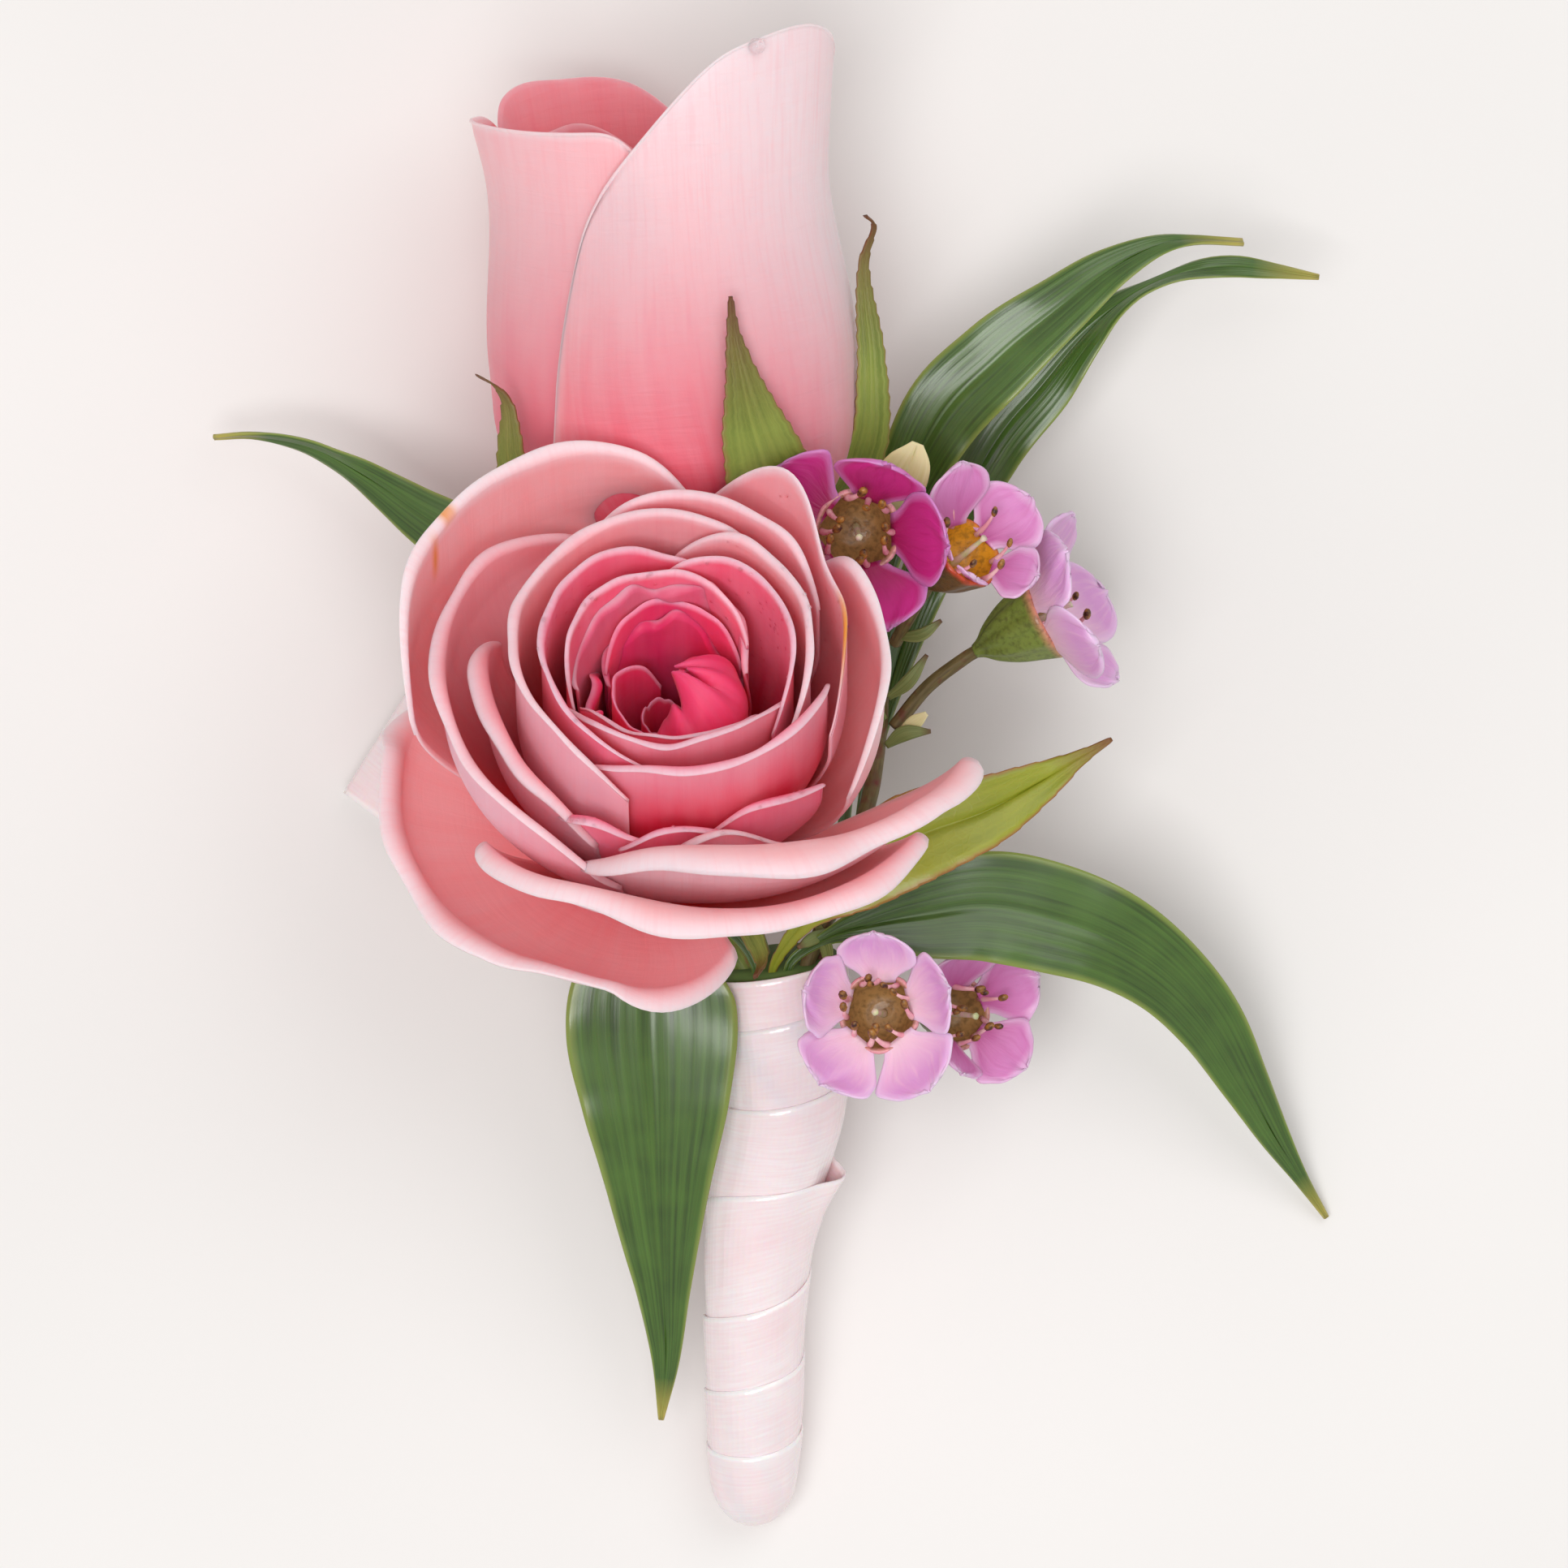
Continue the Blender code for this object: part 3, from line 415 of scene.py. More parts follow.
def sheet_piece(name, grid, thickness, uv, look, stands_for=(), facts=None):
    """A closed thin sheet whose middle surface is the grid. Each fact is a grid of numbers, or a pair
    of them for the front and the back.
    """
    rows, columns, _ = grid.shape
    normal = unit(np.cross(np.gradient(grid, axis=1), np.gradient(grid, axis=0)))
    half = np.broadcast_to(np.asarray(thickness, float) / 2, (rows, columns))[..., None]
    points = np.stack([grid + normal * half, grid - normal * half]).reshape(-1, 3)
    both = {}
    for fact, values in (facts or {}).items():
        pair = values if isinstance(values, tuple) else (values, values)
        both[fact] = np.stack([np.broadcast_to(side, (rows, columns)) for side in pair]).reshape(-1)
    doubled = np.concatenate([uv.reshape(-1, 2), uv.reshape(-1, 2)])
    return add_piece(name, points, sheet_faces(rows, columns), look, stands_for, doubled, both)


def blob(u, v, centre, size):
    """1 at a place on a petal, falling to 0 at this distance from it, in shares across and along."""
    far = ((u - centre[0]) / size[0]) ** 2 + ((v - centre[1]) / size[1]) ** 2
    return np.clip(1 - far, 0, 1) ** 1.5


grown = {}  # each petal's middle surface, with its shares across and along, for the dew on it


def petal(
    name, base, axes, shell, look, slot, angles, reach, top, stands_for=(), claw=0.75, lip=0.3, curl=60,
    flare=0.0, full=None, ripple=0.22, frill=0.0, notch=0.0, shoulder=1.0, seed=1, stains=(), blush=None,
    thickness=PETAL_THICKNESS,
):
    """A petal: a patch of a shell from its foot to its top, and a rolled lip above that.

    angles, reach and top are values read from one side of the petal to the other, lip the radius of
    its rolled edge and curl how far that turns over, in degrees. Flare leans the upper part out,
    ripple and frill wave the edge out and up, and notch dents the middle of the edge. A shoulder above 1
    keeps the top level across the middle and rounds its two corners.
    """
    span = abs(angles[-1] - angles[0])
    columns, rows, lip_rows = int(np.clip(span / 1.9, 40, 130)), 44, 12
    u = np.linspace(-1, 1, columns)
    angle, far = through(angles, u), through(reach, u)
    high = through(top, np.sign(u) * np.abs(u) ** shoulder)
    high = high + frill * waver(u * span, seed + 7, 140.0) - notch * np.exp(-((u / 0.09) ** 2))
    flared = through(flare, u) if np.ndim(flare) else np.full(columns, flare)
    v = np.linspace(0, 1, rows) ** 0.9
    extra = {} if full is None else {"full": full}
    radius, height = shell(far[None, :], v[:, None], high[None, :], **extra)
    wave = waver(u * span, seed, 190.0) + 0.06 * waver(u * span, seed + 3, 60.0)
    radius = radius + flared * v[:, None] ** 3 + ripple * wave * v[:, None] ** 4
    middle = (angles[0] + angles[-1]) / 2
    spread = claw + (1 - claw) * np.sin(np.pi / 2 * np.clip(v / 0.6, 0, 1))
    angle = middle + (angle - middle)[None, :] * spread[:, None]
    out, up = radius[-1] - radius[-2], height[-1] - height[-2]
    long = np.hypot(out, up)
    out, up = out / long, up / long
    roll = lip * (0.3 + 0.7 * np.cos(np.pi / 2 * u) ** 0.6) * (1 + 0.3 * waver(u * span, seed + 5, 120.0))
    turn = np.radians(curl) * np.linspace(0, 1, lip_rows + 1)[1:, None]
    forward, aside = abs(roll) * np.sin(turn), roll * (1 - np.cos(turn))
    radius = np.vstack([radius, radius[-1] + forward * out + aside * up])
    height = np.vstack([height, height[-1] + forward * up - aside * out])
    angle = np.vstack([angle, np.repeat(angle[-1:], lip_rows, axis=0)])
    grid = around(base, axes, radius, angle, height)
    steps = np.linalg.norm(np.diff(grid, axis=0), axis=2)
    along = np.vstack([np.zeros(columns), np.cumsum(steps, axis=0)])
    width = np.radians(span) * np.mean(far)
    uv = unrolled(u * width / 2, along) + 17.0 * seed
    to_rim = along[-1] - along
    to_side = (1 - abs(u)) * width / 2
    to_edge = np.minimum(to_rim, to_side[None, :] + 0 * to_rim)
    wall = RIM_THICKNESS + (thickness - RIM_THICKNESS) * ease(to_edge / 1.4)
    share = along / along[-1]
    stain = sum((blob(u[None, :], share, *spot) for spot in stains), np.zeros_like(share))
    blushed = np.zeros_like(share) if blush is None else blush(u[None, :] + 0 * share, share)
    outside = (1.0, 0.0) if angles[-1] > angles[0] else (0.0, 1.0)
    facts = {
        "along": share, "rim_mm": to_rim, "outside": outside, "stain": stain, "blush": blushed,
    }
    grown[name] = (grid, u, share)
    return sheet_piece(name, grid, wall, uv, look, stands_for, facts)


def petal_skin(
    name, deep, face, lip, back, back_foot, vein, pale="#FCE4E6", stain="#E0903C", lip_wide=2.2,
    wrinkle=0.1, deep_until=0.8, back_span=(0.2, 0.75),
):
    """Living petal skin: thin, moist tissue that light shines into, velvety on its inner face, with
    fine veins that fan from the foot. It darkens towards the foot, partly its own deeper colour and
    partly painted shade of the deep bowl. Its lip is paler, partly its own paler edge and partly a
    painted highlight on the rolled edge, and its back paler still.
    """
    made, tree, shader = new_material(
        name, Roughness=0.5, Subsurface_Weight=0.8, Subsurface_Scale=1.5 * MM, Sheen_Weight=0.05,
        Sheen_Roughness=0.45, Specular_IOR_Level=0.3,
    )
    shader.inputs["Subsurface Radius"].default_value = (1.0, 0.55, 0.5)
    fact = {}
    for key in ("along", "rim_mm", "outside", "stain", "blush"):
        fact[key] = add_node(tree, "ShaderNodeAttribute", attribute_name=key).outputs["Fac"]
    # the inner face darkens from the face colour to the deep one towards the foot: partly the petal's own
    # deeper colour, partly painted shade of the deep bowl
    inner = add_node(
        tree, "ShaderNodeValToRGB", {"Fac": fact["along"]},
        stops=((deep_until - 0.55, deep), (deep_until, face)),
    )
    outer = add_node(
        tree, "ShaderNodeValToRGB", {"Fac": fact["along"]},
        stops=((back_span[0], back_foot), (back_span[1], back)),
    )
    # a paler band along the lip: partly the petal's own paler edge, partly a painted highlight on its
    # rolled edge
    at_lip = add_node(
        tree, "ShaderNodeMapRange",
        {"Value": fact["rim_mm"], "From Max": lip_wide, "To Min": 0.9, "To Max": 0.0},
        interpolation_type="SMOOTHSTEP",
    )
    lipped = add_node(
        tree, "ShaderNodeMix",
        {0: at_lip.outputs["Result"], 6: inner.outputs["Color"], 7: linear(lip)}, data_type="RGBA",
    )
    sided = add_node(
        tree, "ShaderNodeMix",
        {0: fact["outside"], 6: lipped.outputs[2], 7: outer.outputs["Color"]}, data_type="RGBA",
    )
    blushed = add_node(
        tree, "ShaderNodeMix",
        {0: fact["blush"], 6: sided.outputs[2], 7: linear(pale)}, data_type="RGBA",
    )
    # veins about 0.5 mm apart that run from the foot to the lip, under broader streaks
    lies = add_node(tree, "ShaderNodeUVMap", uv_map="unrolled_mm")
    fan = add_node(tree, "ShaderNodeMapping", {"Vector": lies.outputs["UV"], "Scale": (2.0, 0.11, 1.0)})
    veins = add_node(
        tree, "ShaderNodeTexNoise",
        {"Vector": fan.outputs["Vector"], "Scale": 1.0, "Detail": 3.0, "Distortion": 0.5},
    )
    veined = add_node(
        tree, "ShaderNodeMapRange",
        {"Value": veins.outputs["Fac"], "From Min": 0.46, "From Max": 0.74, "To Max": 0.13},
    )
    streaked = add_node(
        tree, "ShaderNodeMix",
        {0: veined.outputs["Result"], 6: blushed.outputs[2], 7: linear(vein)}, data_type="RGBA",
    )
    broad = add_node(
        tree, "ShaderNodeMapping", {"Vector": lies.outputs["UV"], "Scale": (0.35, 0.06, 1.0)}
    )
    clouds = add_node(
        tree, "ShaderNodeTexNoise", {"Vector": broad.outputs["Vector"], "Scale": 1.0, "Detail": 2.0}
    )
    cloudy = add_node(
        tree, "ShaderNodeMapRange",
        {"Value": clouds.outputs["Fac"], "From Min": 0.35, "From Max": 0.7, "To Min": 0.0, "To Max": 0.16},
    )
    clouded = add_node(
        tree, "ShaderNodeMix",
        {0: cloudy.outputs["Result"], 6: streaked.outputs[2], 7: linear(lip)}, data_type="RGBA",
    )
    stained = add_node(
        tree, "ShaderNodeMix",
        {0: fact["stain"], 6: clouded.outputs[2], 7: linear(stain)}, data_type="RGBA",
    )
    # cells about 0.15 mm wide, which give the face its velvet
    cells = add_node(
        tree, "ShaderNodeTexNoise", {"Vector": lies.outputs["UV"], "Scale": 5.5, "Detail": 2.0}
    )
    relief = add_node(
        tree, "ShaderNodeBump",
        {"Height": veins.outputs["Fac"], "Strength": 0.22, "Distance": 0.10 * MM},
    )
    # fine wrinkles across the petal, about 1 mm apart
    creases = add_node(
        tree, "ShaderNodeMapping", {"Vector": lies.outputs["UV"], "Scale": (0.14, 1.1, 1.0)}
    )
    creased = add_node(
        tree, "ShaderNodeTexNoise",
        {"Vector": creases.outputs["Vector"], "Scale": 1.0, "Detail": 3.0, "Distortion": 0.4},
    )
    wrinkled = add_node(
        tree, "ShaderNodeBump",
        {
            "Height": creased.outputs["Fac"], "Strength": wrinkle, "Distance": 0.5 * MM,
            "Normal": relief.outputs["Normal"],
        },
    )
    velvet = add_node(
        tree, "ShaderNodeBump",
        {
            "Height": cells.outputs["Fac"], "Strength": 0.25, "Distance": 0.03 * MM,
            "Normal": wrinkled.outputs["Normal"],
        },
    )
    tree.links.new(stained.outputs[2], shader.inputs["Base Color"])
    tree.links.new(velvet.outputs["Normal"], shader.inputs["Normal"])
    return made


# the heart's back runs from a deeper foot to a brighter top: partly its own colour, partly a painted
# highlight on the hood's dome
heart_skin = petal_skin(
    "rose_heart_petal_skin", "#C40C48", "#F22C68", "#FA9CB8", "#FC3A70", "#DC1E54", "#C8144C",
    lip_wide=0.7,
)
ring_skin = petal_skin(
    "rose_inner_petal_skin", "#F0164E", "#FF6486", "#FFC3D1", "#FF7C9A", "#F5305E", "#F03C6C",
    lip_wide=1.0, deep_until=0.85,
)
# the bowl's petals are deep red-pink over most of their back: partly their own colour, partly painted shade
# at the bottom of the bowl
bowl_skin = petal_skin(
    "rose_bowl_petal_skin", "#F0164E", "#FF6C8A", "#FFC8D4", "#FFA2B6", "#F2204E", "#F5486E",
    lip_wide=1.2, back_span=(0.66, 0.97),
)
cup_skin = petal_skin(
    "rose_cup_petal_skin", "#FC4870", "#FFA2AA", "#FFD0D8", "#FFB0C0", "#FF7A92", "#F87C94",
    lip_wide=1.6, deep_until=0.66,
)
guard_skin = petal_skin(
    "rose_guard_petal_skin", "#FF8C94", "#FFB0B4", "#FFDCE2", "#FFC8D1", "#FFA4B2", "#FA8C9A",
    lip_wide=3.0, deep_until=0.56,
)

ROSE_AXES = flower_axes(ROSE_AXIS)

# From the heart outwards: the angles that a petal spans, its reach and its top from one side to the
# other, and what its edge does.
ROSE_PETALS = {
    "heart_left": dict(
        look=heart_skin, angles=(100, 290), reach=(4.6, 5.4, 6.4),
        top=(14, 19, 19.5, 15), lip=0.35, curl=60,
    ),
    "heart_hood": dict(
        look=heart_skin, angles=(-116, 76), reach=(6.6, 7.7, 7.3, 6.2),
        top=(13, 17.4, 18.0, 14.5), lip=-5.2,
        curl=98, ripple=0.3, shoulder=1.4,
    ),
    "inner_top": dict(
        look=heart_skin, angles=(28, 152), reach=(7.9, 7.6, 7.0),
        top=(18, 22.6, 22.8, 18), lip=0.35, curl=80,
    ),
    "inner_low": dict(
        look=ring_skin, angles=(196, 342), reach=(8.6, 8.8, 9.2),
        top=(20, 23.6, 23.4, 19), lip=0.3, curl=110,
    ),
    "crescent": dict(
        look=ring_skin, angles=(26, 204), reach=(8.6, 9.0, 9.9),
        top=(22, 26, 26.2, 22), lip=0.3, curl=110,
    ),
    "ring_low": dict(
        look=bowl_skin, angles=(202, 346), reach=(10.4, 11.0, 11.5),
        top=(22, 25.6, 25.8, 22), lip=0.4, curl=125,
    ),
    "ring_left": dict(
        look=ring_skin, angles=(70, 266), reach=(11.3, 11.9, 12.6),
        top=(24, 27.4, 27.4, 23), lip=0.35, curl=120,
    ),
    "ring_right": dict(
        look=ring_skin, angles=(-34, 96), reach=(12.4, 11.5, 9.9),
        top=(22, 27, 27.6, 24), lip=0.3, curl=110,
    ),
    "rim_right": dict(
        look=cup_skin, angles=(-38, 90), reach=(13.9, 13.5, 12.6),
        top=(22, 27.4, 28.4, 23), lip=0.4, curl=120,
    ),
    "rim_left": dict(
        look=cup_skin, angles=(46, 256), reach=(14.3, 14.4, 15.2),
        top=(25, 28.4, 28.4, 28, 22), lip=0.45, curl=130,
    ),
    "rim_low": dict(
        look=bowl_skin, angles=(232, 350), reach=(13.5, 14.9, 15.7),
        top=(22, 26, 27, 24), lip=0.6, curl=130,
    ),
    "back_top": dict(
        look=cup_skin, angles=(24, 122), reach=(16.1, 16.4, 16.4),
        top=(24, 28.2, 28.2, 23), lip=0.45, curl=110,
    ),
    "roll_left": dict(
        look=cup_skin, angles=(158, 248), reach=(17.6, 17.6, 17.6),
        top=(18, 23.6, 22, 17), lip=0.9, curl=150,
    ),
    "point_right": dict(
        look=cup_skin, angles=(-20, 84), reach=(16.6, 17.6, 18.6, 20.2), top=(20, 27, 27, 31, 21),
        lip=0.4, curl=60, flare=(0, 0, 0, 2.2, 0), shoulder=1.0, stains=(((-0.5, 1.0), (0.36, 0.04)),),
    ),
    "cup_left": dict(
        look=cup_skin, angles=(116, 258), reach=(21.5, 21.8, 21.4),
        top=(18, 23, 22.6, 16), lip=0.8, curl=120,
    ),
    "side_right": dict(
        look=guard_skin, angles=(-34, 46), reach=(21.0, 20.8, 20.8),
        top=(18, 24, 25, 19), lip=0.8, curl=90,
    ),
    "front": dict(
        look=guard_skin, angles=(248, 346), reach=(20.4, 22.0, 26.0, 30.2),
        top=(18, 22.5, 22.6, 21.4, 18),
        lip=2.5, curl=135, ripple=0.4, shoulder=1.3,
    ),
    "back_left": dict(
        look=guard_skin, angles=(80, 190), reach=(19.4, 24.4, 25.8, 25.0), top=(22, 27.4, 28, 26.6, 18),
        lip=0.9, curl=90, stains=(((0.2, 1.0), (0.05, 0.05)), ((0.32, 0.9), (0.03, 0.1))),
    ),
    "guard_front": dict(
        look=guard_skin, angles=(220, 330), reach=(24.4, 24.8, 27.6, 30.4),
        top=(15, 19, 19.6, 18.4, 15),
        lip=2.1, curl=130, ripple=0.4, shoulder=1.3,
    ),
    "guard_left": dict(
        look=guard_skin, angles=(153, 290), reach=(26.8, 26.6, 24.4),
        top=(3.0, 5.0, 5.4, 4.6, 1.0), lip=2.4,
        curl=95, full=9.0, ripple=0.5, shoulder=1.5,
    ),
}
for k, (name, shape) in enumerate(ROSE_PETALS.items()):
    slot = "rose_heart" if "heart" in name else "rose_petal"
    shape = {"shoulder": 2.0, **shape}
    petal(
        "petal_" + name, ROSE_BASE, ROSE_AXES, rose_shell, slot=slot, stands_for=["rose_petal_" + name],
        seed=k + 1, frill=0.35, **shape,
    )

# small crumpled petals, part petal and part stamen, round the heart and low in the bowl
PETALOIDS = {
    "left_upper": dict(look=heart_skin, angles=(146, 196), reach=(7.6, 7.5, 7.7), top=(15, 19, 16)),
    "left_lower": dict(look=heart_skin, angles=(186, 232), reach=(7.3, 7.6, 7.4), top=(15, 19, 16)),
    "back_inner": dict(
        look=heart_skin, angles=(24, 158), reach=(7.2, 7.0, 6.4), top=(15, 20.4, 20.8, 16)
    ),
    "back_outer": dict(
        look=ring_skin, angles=(14, 178), reach=(8.5, 8.3, 8.6), top=(20, 24.4, 24.4, 20)
    ),
    "low_left": dict(look=ring_skin, angles=(232, 262), reach=(17.0, 17.3, 17.2), top=(19, 21, 19)),
    "low_middle": dict(
        look=ring_skin, angles=(256, 294), reach=(17.9, 17.8, 17.9), top=(18, 21.2, 21.4, 18)
    ),
    "low_right": dict(
        look=ring_skin, angles=(284, 324), reach=(17.2, 17.4, 18.2), top=(18, 21.6, 21, 18)
    ),
    "low_front": dict(
        look=cup_skin, angles=(264, 306), reach=(19.2, 19.4, 20.0), top=(17, 20.4, 20, 17)
    ),
}
for k, (name, shape) in enumerate(PETALOIDS.items()):
    petal(
        "petaloid_" + name, ROSE_BASE, ROSE_AXES, rose_shell, slot="rose_petal", seed=40 + k, lip=0.6,
        curl=130, ripple=0.9, frill=1.3, thickness=0.3, **shape,
    )

# The heart is one narrow petal rolled on itself, sunk between the others.
petal(
    "petal_heart_roll", ROSE_BASE, ROSE_AXES, rose_shell, heart_skin, "rose_heart",
    angles=(200, 760), reach=(1.1, 1.9, 2.6, 3.4), top=(11, 14, 15.5, 13.5), stands_for=["rose_core"],
    claw=1.0, lip=0.25, curl=50, ripple=0.08, frill=0.5, seed=60, thickness=0.3,
)


def blade(
    name, path, width, across, look, slot, stands_for=(), fold=0.12, ribs=0, rib=0.05, groove=0.0,
    teeth=0.0, tooth_pitch=1.6, wave=0.15, thickness=0.45, seed=1,
):
    """A leaf blade along a path, its width laid along the across directions. Its edges are raised by
    the fold, as a share of the half width. Ribs run its length, and teeth cut its edge.
    """
    columns = 33
    raised = np.cross(across, unit(np.gradient(path, axis=0)))
    u = np.linspace(-1, 1, columns)
    along = run_along(path)
    share = along / along[-1]
    half = width / 2
    half = half - teeth * half / (half + 0.5) * (1 - (along / tooth_pitch) % 1.0)
    lift = fold * np.abs(u)[None, :] * half[:, None]
    lift = lift + rib * np.cos(np.pi * ribs * u)[None, :] * ease(half / 2.0)[:, None] * (ribs > 0)
    lift = lift - groove * np.exp(-((u / 0.09) ** 2))[None, :] * ease(half / 2.0)[:, None]
    edge = np.where(u < 0, 1, 0)[None, :] * waver(along, seed, 17.0)[:, None]
    edge = edge + np.where(u > 0, 1, 0)[None, :] * waver(along, seed + 3, 14.0)[:, None]
    lift = lift + wave * edge * (u**2)[None, :] * ease(half / 1.5)[:, None]
    aside = half[:, None] * u[None, :]
    grid = path[:, None] + aside[..., None] * across[:, None] + lift[..., None] * raised[:, None]
    uv = unrolled(u * 5.0, along[:, None]) + 19 * seed
    wall = thickness * (0.4 + 0.6 * ease((1 - np.abs(u)) / 0.22))[None, :] * np.ones_like(lift)
    facts = {"along": share[:, None] * np.ones_like(lift), "side": u[None, :] * np.ones_like(lift)}
    return sheet_piece(name, grid, wall, uv, look, stands_for, facts)


def leaf(name, stations, count, look, slot, stands_for=(), **shape):
    """A blade through stations of (x, y, z, width, roll). Roll turns it about its centre line, in
    degrees from lying flat.
    """
    spread = smooth_path(stations, count)
    path, width, roll = spread[:, :3], np.maximum(spread[:, 3], 0.4), np.radians(spread[:, 4])
    tangent = unit(np.gradient(path, axis=0))
    flat = unit(np.cross(tangent, (0.0, 0.0, 1.0)))
    top = np.cross(flat, tangent)
    across = np.cos(roll)[:, None] * flat + np.sin(roll)[:, None] * top
    return blade(name, path, width, across, look, slot, stands_for, **shape)


def leaf_skin(name, dark, light, rim, tip, tip_from, roughness, stripe, coat=0.0, net=0.0):
    """Living leaf skin: green tissue under a waxy film, with veins raised in it. A stripe is the
    number of lengthwise veins in each millimetre of a blade 10 mm wide, and net the strength of the
    netted veins between them.
    """
    made, tree, shader = new_material(
        name, Roughness=roughness, Subsurface_Weight=0.12, Subsurface_Scale=0.6 * MM, Coat_Weight=coat,
        Coat_Roughness=0.18,
    )
    far = add_node(tree, "ShaderNodeAttribute", attribute_name="along").outputs["Fac"]
    side = add_node(tree, "ShaderNodeAttribute", attribute_name="side").outputs["Fac"]
    lies = add_node(tree, "ShaderNodeUVMap", uv_map="unrolled_mm")
    lengthwise = add_node(
        tree, "ShaderNodeMapping", {"Vector": lies.outputs["UV"], "Scale": (stripe, 0.035, 1.0)}
    )
    veins = add_node(
        tree, "ShaderNodeTexNoise",
        {"Vector": lengthwise.outputs["Vector"], "Scale": 1.0, "Detail": 3.0},
    )
    green = add_node(
        tree, "ShaderNodeValToRGB", {"Fac": veins.outputs["Fac"]}, stops=((0.3, dark), (0.8, light))
    )
    patches = add_node(
        tree, "ShaderNodeTexNoise", {"Vector": lies.outputs["UV"], "Scale": 0.16, "Detail": 2.0}
    )
    patchy = add_node(
        tree, "ShaderNodeMapRange",
        {"Value": patches.outputs["Fac"], "From Min": 0.4, "From Max": 0.75, "To Max": 0.55},
    )
    mottled = add_node(
        tree, "ShaderNodeMix",
        {0: patchy.outputs["Result"], 6: green.outputs["Color"], 7: linear(light)}, data_type="RGBA",
    )
    outward = add_node(tree, "ShaderNodeMath", {0: side}, operation="ABSOLUTE")
    at_rim = add_node(
        tree, "ShaderNodeMapRange",
        {"Value": outward.outputs[0], "From Min": 0.86, "From Max": 1.0, "To Max": 0.85},
    )
    rimmed = add_node(
        tree, "ShaderNodeMix",
        {0: at_rim.outputs["Result"], 6: mottled.outputs[2], 7: linear(rim)}, data_type="RGBA",
    )
    at_tip = add_node(
        tree, "ShaderNodeMapRange",
        {"Value": far, "From Min": tip_from, "From Max": 1.0, "To Max": 0.95},
    )
    tipped = add_node(
        tree, "ShaderNodeMix",
        {0: at_tip.outputs["Result"], 6: rimmed.outputs[2], 7: linear(tip)}, data_type="RGBA",
    )
    cells = add_node(
        tree, "ShaderNodeTexVoronoi",
        {"Vector": lies.outputs["UV"], "Scale": 0.9}, feature="DISTANCE_TO_EDGE",
    )
    netted = add_node(
        tree, "ShaderNodeMapRange",
        {"Value": cells.outputs["Distance"], "From Max": 0.12, "To Min": net, "To Max": 0.0},
    )
    webbed = add_node(
        tree, "ShaderNodeMix",
        {0: netted.outputs["Result"], 6: tipped.outputs[2], 7: linear(light)}, data_type="RGBA",
    )
    relief = add_node(
        tree, "ShaderNodeBump",
        {"Height": veins.outputs["Fac"], "Strength": 0.35, "Distance": 0.12 * MM},
    )
    sunk = add_node(
        tree, "ShaderNodeBump",
        {
            "Height": netted.outputs["Result"], "Strength": 0.6, "Distance": 0.12 * MM,
            "Normal": relief.outputs["Normal"],
        },
    )
    tree.links.new(webbed.outputs[2], shader.inputs["Base Color"])
    tree.links.new(sunk.outputs["Normal"], shader.inputs["Normal"])
    return made


sepal_skin = leaf_skin(
    "rose_sepal_skin", "#5F7426", "#93A046", "#8A7038", "#6A3020", 0.66, 0.5, 1.3, net=0.12
)

for k, name in enumerate(("low", "right", "top", "left", "under")):
    angle = np.full(5, -49.0 + 72.0 * k)
    radius = np.array((ROSE_DOME[0] + 0.35, 9.0, 11.5, 13.4, 14.4))
    height = np.array((-5.9, -5.6, -6.0, -7.4, -9.2))
    width = np.array((3.4, 3.6, 2.8, 1.8, 0.5))
    if name == "low":
        angle = np.array((-49.0, -50.0, -52.0, -55.0, -62.0))
        radius, height = radius + (0, 0, 0.6, 2.4, 3.6), height + (0, 0, -0.4, -0.2, 2.6)
    knots = dense_curve(np.stack([angle, radius, height, width], 1), 12)
    path = around(ROSE_BASE, ROSE_AXES, knots[:, 1], knots[:, 0], knots[:, 2])
    across = unit(around(ROSE_BASE, ROSE_AXES, knots[:, 1], knots[:, 0] + 1.0, knots[:, 2]) - path)
    blade(
        "rose_sepal_blade_" + name, path, knots[:, 3], across, sepal_skin, "calyx",
        ["rose_sepal_" + name], fold=0.08, ribs=3, rib=0.04, groove=0.1, teeth=0.25, seed=20 + k,
    )

# ---- The rosebud ----
# A large half-open bud on its own stem. Five broad petals wrap round each other: the front one is
# near white above and salmon below, the left one ends in a point. Three green sepals with dry brown
# tips lie along it and two are bent back under it.

BUD_REACH = 18.9
BUD_BELLY = 17.0  # height above the base where the bud is widest
BUD_PETAL = 0.5


def bud_shell(reach, share, top, full=BUD_BELLY):
    """As for the rose, for shells that close in again above the belly."""
    foot, low = dome_point(BUD_DOME, 80 * (np.asarray(reach) / BUD_REACH) ** 1.6)
    rise = SEAT + share * (top - low - SEAT)
    opened = np.sin(np.pi / 2 * np.clip(rise / full, 0, 1)) ** 0.66
    closing = 1 - 0.24 * ease((rise - 22) / 20)
    return foot + (reach - foot) * opened * closing, low + rise


def front_blush(u, v):
    """Where the front petal is near white: its upper part and its right side, fading down to the left."""
    return 0.95 * ease((0.9 * v + 0.6 * (np.minimum(u, 0.5) + 0.3) - 0.22) / 0.8)


def left_blush(u, v):
    return 0.55 * ease((v - 0.35) / 0.6) * (1 - 0.4 * np.abs(u))


bud_skin = petal_skin(
    "bud_petal_skin", "#F2506E", "#FF8A94", "#FCCDD2", "#FF96A2", "#FF7888", "#FA7488", pale="#FBDEE3",
    lip_wide=1.2, wrinkle=0.2,
)
bud_axes_front = unit(np.cross((1.0, 0.0, 0.0), BUD_AXIS))
BUD_AXES = (np.cross(BUD_AXIS, bud_axes_front), bud_axes_front, BUD_AXIS)

